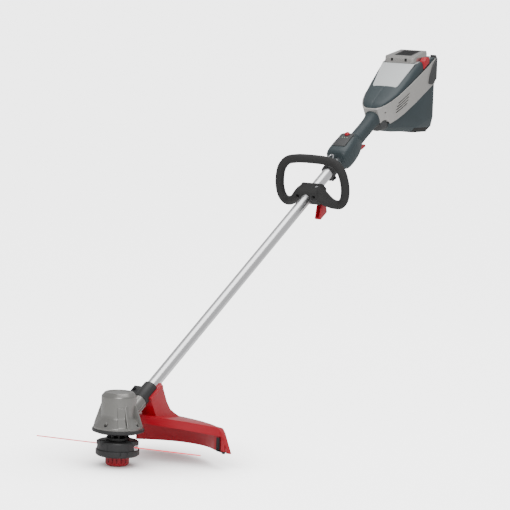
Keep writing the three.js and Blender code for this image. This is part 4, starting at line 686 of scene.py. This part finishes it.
softened("guard", "guard_shell", "frame", RED, 0.9)
softened("shaft_collar", "collar_casting", "frame", BLACK, 0.8)
softened("clamp_jaw", "clamp_jaw_block", "front_handle", BLACK, 1.5)
softened("harness_clamp", "harness_clamp_band", "frame", BLACK, 0.8)
softened("trigger", "trigger_blade", "throttle", RED, 1.2)
softened("cam_lever", "cam_lever_arm", "cam", RED, 0.9)
softened("side_band", "side_band_shell", "frame", SILVER, 0.5)
softened("lower_body", "lower_body_shell", "frame", TEAL, 2.6, 4)
softened("base_pad", "base_pad_moulding", "frame", RUBBER, 0.5)
softened("battery_case", "battery_case_shell", "battery", DARK, 2.0)
softened("battery_latch", "battery_latch_button", "latch", RED, 1.6)
softened("rear_bumper_left", "bumper_left", "frame", DARK, 1.0)
softened("rear_bumper_right", "bumper_right", "frame", DARK, 1.0)


# ------------------------------------------------------------------ shaft
def shaft():
    stations = [62 + (1300 - 62) * i / 24 for i in range(1, 24)]
    profile = [(12.5, 62), (13.6, 62), (14, 62.4)] + [(14, s) for s in stations]
    profile += [(14, 1299.6), (13.6, 1300), (12.5, 1300)]
    piece = lathe("shaft_tube_bright", profile, 128, SHAFT_BARS)
    placed(piece, "frame", TUBE, ["shaft_tube"])


shaft()


# ------------------------------------------------------------------ loop handle
LOOP_MIDDLE = Vector((834, 0, 614))
LOOP_LEAN = math.radians(9.5)
LOOP_BAR = 11.5
LOOP_HALF = [
    (24, -14, -14), (36, -25, -12), (50, -40, -7), (64, -49, -1), (80, -50, 0), (93, -36, 0),
    (98, -12, 0), (96, 14, 0), (88, 38, 0), (70, 56, 0), (42, 62.5, 0), (16, 64, 0)]


def loop_at(y, up, back):
    return LOOP_MIDDLE + Vector((
        -up * math.sin(LOOP_LEAN) + back * math.cos(LOOP_LEAN), y,
        up * math.cos(LOOP_LEAN) + back * math.sin(LOOP_LEAN)))


# centre across, up and back, half breadth, half depth, tilt of the breadth in degrees
STRAP_ROWS = [
    (18, -17, -13, 22, 8, 21.5), (34, -26, -14, 23, 9, 20), (50, -41, -10, 20.5, 10, 14),
    (64, -49, -4, 16, 11, 6), (80, -50, 0, LOOP_BAR + 0.5, LOOP_BAR, 0)]


def strap(side):
    """Broad web from the clamp block out to the loop, on one side of the shaft."""
    rings = []
    first, last = STRAP_ROWS[0][0], STRAP_ROWS[-1][0]
    steps = 40
    across = [first + (last - first) * k / steps for k in range(steps + 1)]
    rows = [smooth_table(STRAP_ROWS, y) for y in across]
    centres = [loop_at(side * y, row[0], row[1]) for y, row in zip(across, rows)]
    for k, (_, _, wide, thin, tilt) in enumerate(rows):
        ahead = centres[min(k + 1, steps)] - centres[max(k - 1, 0)]
        turn = math.radians(tilt)
        broad = loop_at(0, math.sin(turn), math.cos(turn)) - loop_at(0, 0, 0)
        deep = ahead.cross(broad).normalized()
        ring = []
        for i in range(40):
            angle = 2 * math.pi * i / 40
            ring.append(centres[k] + broad * (wide * math.cos(angle)) + deep * (thin * math.sin(angle)))
        rings.append(ring)
    return loft("tool", rings)


def remeshed(piece, voxel, smooth):
    fuse = piece.modifiers.new("fuse", "REMESH")
    fuse.mode = "VOXEL"
    fuse.voxel_size = voxel * MM
    ease = piece.modifiers.new("ease", "SMOOTH")
    ease.factor = 0.5
    ease.iterations = smooth
    return applied(piece)


def loop_handle():
    near = [loop_at(-y, up, back) for y, up, back in LOOP_HALF]
    far = [loop_at(y, up, back) for y, up, back in reversed(LOOP_HALF)]
    piece = tube("loop_handle_moulding", spline(near + far, 8), LOOP_BAR, 36)
    profile = rounded([
        (943, 0.3), (942, 12), (947, 19.5), (952, 21.5), (985, 21.5), (989, 16.5), (989, 0.3)], 2.5, 4)
    face = [(-37, 0.3), (-37, 6), (-29, 20.5), (-26, 22.5), (26, 22.5), (29, 20.5), (37, 6), (37, 0.3)]
    plan = SHAFT @ columns(Vector((0, 1, 0)), Vector((0, 0, 1)), Vector((1, 0, 0)), Vector((0, 0, 0)))
    body = keep(prism("tool", profile, -37, 37, SHAFT_SIDE), prism("tool", face, 938, 994, plan))
    join(piece, body, strap(-1), strap(1))
    remeshed(piece, 1.1, 7)
    cuts = [
        lathe("tool", [(0.5, 920), (14.3, 920), (14.3, 1010), (0.5, 1010)], 96, SHAFT_BARS),
        block(937, 995, -26.5, 26.5, -60, 0.3, SHAFT),
        rod(3.4, on_shaft(972, -20, -10), on_shaft(972, -20, 60)),
        rod(5.4, on_shaft(972, -20, 15.5), on_shaft(972, -20, 60)),
        rod(2.6, on_shaft(966, 20, -10), on_shaft(966, 20, 17)),
    ]
    for y in (-24, 24):
        cuts.append(rod(4.6, on_shaft(930, y, 7.5), on_shaft(949, y, 7.5)))
    cut(piece, *cuts)
    placed(piece, "front_handle", RUBBER, ["loop_handle"], 40)
    for i, side in enumerate((-1, 1)):
        at = on_shaft(945.5, side * 24, 7.5)
        lean = Matrix.Rotation(-SHAFT_SLOPE, 4, "Y")
        turn = Matrix.Translation(at) @ lean @ Matrix.Rotation(-math.pi / 2, 4, "Y")
        outline = rounded([(1.6, -3), (4.4, -3), (4.4, -0.5), (1.6, -0.5)], 0.3, 2)
        head = lathe(f"handle_socket_{i + 1}", outline, 6, turn)
        placed(head, "front_handle", DARK_STEEL)


def handle_seams():
    """Thin raised parting line along the outside of each half of the loop."""
    for i, side in enumerate((-1, 1)):
        points = spline([loop_at(side * y, up, back) for y, up, back in LOOP_HALF[3:]], 6)
        middle = loop_at(0, 5, 0)
        lifted = []
        for p in points:
            outward = (p - middle).normalized()
            lifted.append(p + outward * (LOOP_BAR - 0.25))
        seam = tube(f"handle_parting_line_{i + 1}", lifted, 0.55, 8)
        placed(seam, "front_handle", RUBBER, (), 60)


loop_handle()
handle_seams()


# ------------------------------------------------------------------ pod and grip
def sections(name, table, start, end, rings, sides=96, change=None):
    """Loft of rounded sections across the shaft: half width, lowest, highest, squareness."""
    made_rings = []
    for k in range(rings + 1):
        s = start + (end - start) * k / rings
        half, low, high, power = smooth_table(table, s)
        ring = []
        for i in range(sides):
            angle = 2 * math.pi * i / sides
            c, n = math.cos(angle), math.sin(angle)
            y = half * math.copysign(abs(c) ** (2 / power), c)
            h = (low + high) / 2 + (high - low) / 2 * math.copysign(abs(n) ** (2 / power), n)
            if change:
                y, h = change(s, y, h)
            ring.append(on_shaft(s, y, h))
        made_rings.append(ring)
    return loft(name, made_rings)


def distance_to(path, s, h):
    best = 1e9
    for (s0, h0), (s1, h1) in zip(path, path[1:]):
        length = (s1 - s0) ** 2 + (h1 - h0) ** 2
        t = max(0, min(1, ((s - s0) * (s1 - s0) + (h - h0) * (h1 - h0)) / length))
        best = min(best, math.hypot(s - s0 - t * (s1 - s0), h - h0 - t * (h1 - h0)))
    return best


POD_TABLE = [
    (1113, 24, -21, 23, 3), (1116, 29, -25, 28, 3.2), (1125, 33, -27.5, 31.5, 3.4),
    (1150, 33.5, -28, 33.5, 3.4), (1178, 31, -27.5, 35, 3.2), (1196, 27, -26.5, 32.5, 2.8),
    (1208, 22.5, -24, 25, 2.5), (1216, 20, -22.5, 19.5, 2.3)]
GRIP_TABLE = [
    (1216.3, 18.8, -21.5, 18, 2.3), (1230, 18.2, -20.5, 17.2, 2.3), (1282, 18.2, -20.5, 17.2, 2.3),
    (1302, 18.6, -21, 18.5, 2.4), (1317.7, 20.5, -23.5, 23, 2.5)]
POD_CREASE = [(1172, 15), (1154, 15), (1147, 9), (1147, -8), (1160, -19)]
POD_FLANK = [(1128, 24), (1130, -20)]
POD_TAIL = [(1200, 14), (1194, -2), (1176, -18)]
PANEL_FLOOR = 30.8
TRIGGER_AT = 1196


def pod_relief(s, y, h):
    """Pressed creases on the two flanks of the pod."""
    if abs(y) < 12:
        return y, h
    press = 0.9 * math.exp(-(distance_to(POD_CREASE, s, h) / 1.5) ** 2)
    press += 0.7 * math.exp(-(distance_to(POD_FLANK, s, h) / 1.3) ** 2)
    raised = 0.7 * math.exp(-(distance_to(POD_TAIL, s, h) / 2.6) ** 2)
    return y - math.copysign(press - raised, y), h


def trigger_slot():
    return prism("tool", [
        (TRIGGER_AT - 9, -15), (TRIGGER_AT - 9, -60), (TRIGGER_AT + 50, -60), (TRIGGER_AT + 50, -15.2)],
        -6, 6, SHAFT_SIDE)


def pod():
    piece = sections("pod_shell_moulding", POD_TABLE, 1113, 1216, 96, 144, pod_relief)
    seat = rounded([(1138, -19), (1192, -19), (1200, -15), (1200, 15), (1192, 19), (1138, 19)], 4, 4)
    panel_room = prism("tool", seat, PANEL_FLOOR - 0.2, 60, SHAFT)
    cut(piece, panel_room,
        lathe("tool", [(0.5, 1100), (14.3, 1100), (14.3, 1230), (0.5, 1230)], 96, SHAFT_BARS),
        rod(7.1, on_shaft(1189, 0, 20), on_shaft(1189, 0, 60)),
        trigger_slot(),
        block(1162, 1187.5, -8, 8, -25, -14.5, SHAFT))
    placed(piece, "frame", TEAL, ["pod_shell"], 45)


def panel():
    outline = rounded([
        (1138.4, -18.5), (1191.8, -18.5), (1199.5, -14.8),
        (1199.5, 14.8), (1191.8, 18.5), (1138.4, 18.5)], 3.8, 5)
    top = rounded([
        (1130, 30), (1138.3, 34.0), (1150, 35.2), (1186, 35.8),
        (1199.7, 31.8), (1206, 28), (1206, 20), (1130, 20)], 2, 4)
    plate = prism("control_panel_plate", outline, PANEL_FLOOR + 0.1, 40, SHAFT)
    piece = keep(plate, prism("tool", top, -30, 30, SHAFT_SIDE))
    cut(piece, rod(7.1, on_shaft(1189, 0, 20), on_shaft(1189, 0, 60)))
    edges_rounded(piece, 0.5, 2)
    placed(piece, "frame", DARK, ["control_panel"])
    for i, (s, y) in enumerate(((1174, 7), (1174, 0), (1174, -7))):
        dome = rounded([(0.01, -1), (1.1, -1), (1.1, 0.35), (0.6, 0.6), (0.01, 0.65)], 0.2, 2)
        turn = Matrix.Translation(on_shaft(s, y, 35.55)) @ Matrix.Rotation(-SHAFT_SLOPE, 4, "Y")
        lamp = lathe(f"status_light_{i + 1}", dome, 32, turn)
        placed(lamp, "frame", LAMP)


def lock_button():
    dome = [(0.01, 24), (6.8, 24), (6.8, 37.2), (6.2, 38.9), (4.2, 40.1), (2.2, 40.5), (0.01, 40.6)]
    piece = lathe("lock_button_cap", [dome[0]] + rounded(dome[1:-1], 0.6, 4, False) + [dome[-1]], 96,
                  Matrix.Translation(on_shaft(1189, 0, 0)) @ Matrix.Rotation(-SHAFT_SLOPE, 4, "Y"))
    ribs = []
    for offset in (-3, 0, 3):
        ribs.append(block(1189 + offset - 0.45, 1189 + offset + 0.45, -6, 6, 40.0, 42, SHAFT))
    cut(piece, *ribs)
    placed(piece, "lock_off", RED, ["lock_button"])


UNDER_LEVEL = -11


def grip():
    for name, node, low, high, material, slot in (
        ("grip_top_moulding", "grip_shell", UNDER_LEVEL, 60, TEAL_SOFT, "teal_plastic"),
        ("grip_under_moulding", "grip_underside", -60, UNDER_LEVEL - 0.3, DARK, "dark_grey"),
    ):
        piece = sections(name, GRIP_TABLE, 1216.3, 1317.7, 48, 128)
        keep(piece, block(1200, 1330, -60, 60, low, high, SHAFT))
        bore = lathe("tool", [(0.5, 1200), (14.3, 1200), (14.3, 1302), (0.5, 1302)], 96, SHAFT_BARS)
        cut(piece, bore, trigger_slot())
        if high == 60:
            cut(piece, rod(6, on_shaft(1290, 0, 0), on_shaft(1330, 0, 0)))
        edges_rounded(piece, 0.5, 2, 40)
        placed(piece, "frame", material, [node], 40)


pod()
panel()
lock_button()
grip()


# ------------------------------------------------------------------ power head
BAND_HALF = [
    (1318, 21), (1326, 27), (1340, 36.5), (1360, 45.5), (1388, 53),
    (1444, 61), (1507, 66), (1551, 69), (1700, 70)]
HOOD_RISE = [
    (1323, 31.5), (1331, 35.5), (1343, 38.5), (1392, 42.5), (1440, 50), (1502, 60), (1600, 62)]
HOOD_FLOOR = 30.3
REAR_X = 1350
DECK_THICK = 2.6
CAP_ROOM = (1255.2, 1340.8, -48.3, 48.3)
LATCH_ENDS = (1280.4, 1307.6)
LATCH_INNER = -48.6


def latch_room():
    """Notch for the latch, down to the top edge of the side band."""
    outline = []
    for x in LATCH_ENDS:
        outline.append((x, AXIS_HEIGHT + 30.35 / math.cos(SHAFT_SLOPE) + x * math.tan(SHAFT_SLOPE)))
    outline += [(x, 1000) for x in reversed(LATCH_ENDS)]
    return prism("tool", outline, -LATCH_INNER, 90, SIDE)


def over_deck(drop):
    line = [
        (1184, 851.8 - drop), (1184, 1000), (1500, 1000),
        (1500, 960 - drop), (REAR_X, 931.8 - drop), (1257, 914 - drop)]
    return prism("tool", line, -120, 120, SIDE)


def deck_plan(grow, low=600, high=1100):
    half = [(1184 - grow, 36.5 + grow), (1250, 48.5 + grow), (1300, 54 + grow), (1330, 54 + grow),
            (REAR_X - 0.5 + grow, 44 + grow)]
    outline = [(x, -y) for x, y in half] + [(x, y) for x, y in reversed(half)]
    return prism("tool", rounded(outline, 7, 5), low, high)


def rear_plan(inset):
    return prism("tool", [
        (900, -71 + inset), (1334, -71 + inset), (REAR_X - inset, -56 + inset), (REAR_X - inset, 56 - inset),
        (1334, 71 - inset), (900, 71 - inset)], 500, 1100)


def hood_form(name, inset, crease):
    rings = []
    count = 64
    for k in range(73):
        s = 1323 + (1600 - 1323) * (k / 72) ** 1.3
        rise, = smooth_table(HOOD_RISE, s)
        half, = smooth_table(BAND_HALF, s)
        ease = min(1, (s - 1323) / 8)
        half = (13 + (half - 4 - 13) * math.sqrt(ease)) - inset
        top = rise - inset
        floor = HOOD_FLOOR - (6 if inset else 0)
        ring = []
        for i in range(count + 1):
            across = math.cos(math.pi * i / count)
            up = max(0.0, 1 - abs(across) ** 3.1) ** (1 / 2.6)
            if crease:
                top_here = top - 0.7 * math.exp(-(half * across / 1.6) ** 2)
            else:
                top_here = top
            ring.append(on_shaft(s, -half * across, floor + (top_here - floor) * up))
        rings.append(ring)
    return loft(name, rings)


def hood():
    piece = keep(hood_form("hood_shell", 0, True), rear_plan(1))
    inner = keep(hood_form("tool", 4, False), rear_plan(4))
    cut(inner, over_deck(DECK_THICK + 3))
    recess = keep(over_deck(DECK_THICK + 0.3), deck_plan(0.4))
    cut(piece, inner, recess, over_deck(0))
    x0, x1, y0, y1 = CAP_ROOM
    cut(piece, block(x0, x1, y0, y1, 700, 1100))
    cut(piece, latch_room())
    placed(piece, "frame", TEAL, ["hood"], 35)


def deck():
    piece = keep(over_deck(DECK_THICK), deck_plan(0))
    piece.name = "top_deck_panel"
    cut(piece, over_deck(0))
    x0, x1, y0, y1 = CAP_ROOM
    cut(piece, block(x0, x1, y0, y1, 700, 1100))
    cut(piece, latch_room())
    edges_rounded(piece, 0.7, 3, 12)
    placed(piece, "frame", LIGHT, ["top_deck"], 30)


CAP_FRONT, CAP_BACK, CAP_HALF, CAP_SEAM, CAP_RISE = 1256, 1340, 47.5, 912.5, 0.24


def battery_cap():
    half = [
        (CAP_FRONT, CAP_HALF - 12), (CAP_FRONT + 3, CAP_HALF - 4), (CAP_FRONT + 12, CAP_HALF),
        (CAP_BACK - 18, CAP_HALF), (CAP_BACK - 5, CAP_HALF - 6), (CAP_BACK, CAP_HALF - 18)]
    outline = rounded([(x, -y) for x, y in half] + [(x, y) for x, y in reversed(half)], 6, 5)
    piece = prism("battery_cap_shell", outline, 850, 1000)
    base = CAP_SEAM - CAP_RISE
    profile = [(CAP_FRONT - 1, base), (CAP_BACK + 1, CAP_SEAM + CAP_RISE * (CAP_BACK + 1 - CAP_FRONT)),
               (CAP_BACK + 1, 940), (CAP_BACK - 6, 946), (CAP_FRONT + 12, 931), (CAP_FRONT - 1, 924)]
    crown = rounded([
        (-CAP_HALF - 1, 880), (-CAP_HALF - 1, 928), (-CAP_HALF + 8, 944), (-CAP_HALF + 16, 960),
        (CAP_HALF - 16, 960), (CAP_HALF - 8, 944), (CAP_HALF + 1, 928), (CAP_HALF + 1, 880)], 6, 4)
    plan = columns(Vector((0, 1, 0)), Vector((0, 0, 1)), Vector((1, 0, 0)), Vector((0, 0, 0)))
    keep(piece, prism("tool", profile, -60, 60, SIDE), prism("tool", crown, 1200, 1400, plan))
    edges_rounded(piece, 2.2, 4, 25)
    hollow = [(CAP_FRONT + 20, 931.2), (CAP_BACK - 12, 943), (CAP_BACK - 12, 990), (CAP_FRONT + 20, 990)]
    well = prism("tool", hollow, -27, 27, SIDE)
    clips = []
    for y in (-21, 21):
        clips.append(block(CAP_FRONT - 2, CAP_FRONT + 5, y - 3.4, y + 3.4, 917.5, 925.5))
    cut(piece, well, *clips)
    placed(piece, "battery", CAP_SILVER, ["battery_cap"], 30)
    for i, y in enumerate((-21, 21)):
        corners = [(y - 3.1, 917.8), (y + 3.1, 917.8), (y + 3.1, 925.2), (y - 3.1, 925.2)]
        clip = prism(
            f"battery_clip_{i + 1}", rounded(corners, 1.2, 3), CAP_FRONT + 1.2, CAP_FRONT + 4.8, plan, 0.5)
        placed(clip, "battery", BLACK_GLOSS)


def battery_gauge():
    slope = (943.3 - 931.6) / (CAP_BACK - 12.3 - CAP_FRONT - 20.3)
    angle = math.atan(slope)
    place = Matrix.Translation((CAP_FRONT + 20.3, 0, 931.6)) @ Matrix.Rotation(-angle, 4, "Y")
    length = (CAP_BACK - 12.3 - CAP_FRONT - 20.3) / math.cos(angle)
    outline = rounded([(0.3, -26.6), (length - 0.3, -26.6), (length - 0.3, 26.6), (0.3, 26.6)], 3, 4)
    piece = prism("battery_gauge_panel", outline, 0.05, 1.1, place, 0.3)
    ribs = []
    for k in range(6):
        at = 5 + k * (length - 10) / 5
        corners = [(at - 1.3, -22), (at + 1.3, -22), (at + 1.3, 22), (at - 1.3, 22)]
        ribs.append(prism("tool", rounded(corners, 1.2, 3), 0.9, 2.3, place, 0.5))
    join(piece, *ribs)
    placed(piece, "battery", BLACK, ["battery_gauge"], 35)


def nose():
    rings = []
    for k in range(17):
        along = k / 16
        swell = math.sin(along * math.pi / 2)
        s = 1318.3 + (1339 - 1318.3) * along
        half, low, power = 19.5 + 8.5 * swell, -40 - 6 * swell, 2.6 + 0.4 * along
        ring = []
        for i in range(96):
            angle = 2 * math.pi * i / 96
            c, n = math.cos(angle), math.sin(angle)
            y = half * math.copysign(abs(c) ** (2 / power), c)
            h = (low + 6) / 2 + (6 - low) / 2 * math.copysign(abs(n) ** (2 / power), n)
            ring.append(on_shaft(s, y, h))
        rings.append(ring)
    seat = rounded([(1280, -80), (1280, -13), (1318, -13), (1324, -9), (1330, -9.5), (1335, -15), (1338, -22),
                    (1339, -27.5), (1339, -80)], 4, 4)
    piece = keep(loft("nose_cover_moulding", rings), prism("tool", seat, -60, 60, SHAFT_SIDE))
    edges_rounded(piece, 0.8, 3, 40)
    placed(piece, "frame", DARK, ["nose_cover"], 40)


def band_screw():
    for i, side in enumerate((-1, 1)):
        half, = smooth_table(BAND_HALF, 1335)
        y = side * (half - 3.4)
        turn = Matrix.Translation(on_shaft(1335, y, 10)) @ Matrix.Rotation(-side * math.pi / 2, 4, "X")
        outline = rounded([(0.9, -1.5), (2.2, -1.5), (2.2, 0), (0.9, 0)], 0.3, 2)
        head = lathe(f"band_screw_{i + 1}", outline, 32, turn)
        placed(head, "frame", DARK_STEEL)


hood()
deck()
battery_cap()
battery_gauge()
nose()
band_screw()


# ------------------------------------------------------------------ CAD pieces that keep their shape
def finish_of(names, material, width=0.0):
    for name in names:
        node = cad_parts[name]
        node.data.materials.clear()
        node.data.materials.append(material)
        if width:
            bevel = node.modifiers.new("bevel", "BEVEL")
            bevel.width = width * MM
            bevel.segments = 2
            bevel.limit_method = "ANGLE"
            bevel.angle_limit = math.radians(40)


finish_of(["line_spool", "trigger_switch", "terminal_block"], BLACK)
finish_of(["wound_line"], LINE)
finish_of(["bump_spring", "spindle", "spindle_nut", "bearing_upper", "bearing_lower"], STEEL)
finish_of(["harness_ring", "cam_bolt", "trigger_pin"], STEEL)
finish_of(["rotor", "stator_core"], LAMINATION)
finish_of(["winding_upper", "winding_lower"], COPPER)
finish_of(["cutter_blade", "blade_screw", "collar_screw", "clamp_screw", "harness_screw"], DARK_STEEL)
finish_of(["motor_cable"], RUBBER)
finish_of(["motor_controller"], BOARD)


# ------------------------------------------------------------------ floor and light
FLOOR_GLOW = 3.4
SKY_GLOW = 4.6


def floor():
    size = 60
    level = -0.0015
    mesh = bpy.data.meshes.new("studio_floor")
    corners = [(-size, -size, level), (size, -size, level), (size, size, level), (-size, size, level)]
    mesh.from_pydata(corners, [], [(0, 1, 2, 3)])
    piece = bpy.data.objects.new("studio_floor", mesh)
    bpy.context.scene.collection.objects.link(piece)
    s = Shader("studio_floor")
    s.colour(s.ramp(s.noise(0.6, 2), linear(246, 246, 246), linear(250, 250, 250)))
    s.roughness(s.span(s.noise(3), 0.75, 0.85))
    s.set(Specular_IOR_Level=0.1)
    # a glow that only the camera sees, for white paper, dimmed by ambient occlusion where the object stands
    # close over it: a painted shadow on the floor
    painted_shadow_ao = s.node("ShaderNodeAmbientOcclusion")
    painted_shadow_ao.inputs["Distance"].default_value = 0.3
    seen = s.node("ShaderNodeLightPath").outputs["Is Camera Ray"]
    # painted shadow: the occlusion, sharpened by a power, darkens the floor's glow under the object
    dim = s.node("ShaderNodeMath", operation="POWER")
    s.link(painted_shadow_ao.outputs["AO"], dim.inputs[0])
    dim.inputs[1].default_value = 2.5
    glow = s.node("ShaderNodeMath", operation="MULTIPLY")
    s.link(dim.outputs[0], glow.inputs[0])
    s.link(seen, glow.inputs[1])
    gain = s.node("ShaderNodeMath", operation="MULTIPLY")
    s.link(glow.outputs[0], gain.inputs[0])
    gain.inputs[1].default_value = FLOOR_GLOW
    s.base.inputs["Emission Color"].default_value = (1, 1, 1, 1)
    s.link(gain.outputs[0], s.base.inputs["Emission Strength"])
    mesh.materials.append(s.material)


def softbox(name, at, aim, size, radiance):
    """Rectangular lamp of a given brightness, in metres."""
    lamp = bpy.data.lights.new(name, "AREA")
    lamp.shape = "RECTANGLE"
    lamp.size, lamp.size_y = size
    lamp.energy = radiance * math.pi * size[0] * size[1]
    holder = bpy.data.objects.new(name, lamp)
    bpy.context.scene.collection.objects.link(holder)
    holder.location = at
    holder.rotation_euler = (Vector(aim) - Vector(at)).to_track_quat("-Z", "Y").to_euler()


def studio():
    world = bpy.data.worlds.new("studio")
    bpy.context.scene.world = world
    world.use_nodes = True
    tree = world.node_tree
    back = tree.nodes["Background"]
    back.inputs["Color"].default_value = (1, 1, 1, 1)
    seen = tree.nodes.new("ShaderNodeLightPath").outputs["Is Camera Ray"]
    level = tree.nodes.new("ShaderNodeMapRange")
    level.inputs["To Min"].default_value = 0.62
    level.inputs["To Max"].default_value = SKY_GLOW
    tree.links.new(seen, level.inputs["Value"])
    tree.links.new(level.outputs["Result"], back.inputs["Strength"])
    softbox("overhead_softbox", (0.9, -0.2, 2.9), (0.7, 0, 0.4), (2.4, 2.0), 2.6)
    softbox("key_softbox", (-3.2, -2.2, 2.6), (0.6, 0, 0.4), (2.4, 2.4), 5)


floor()
studio()
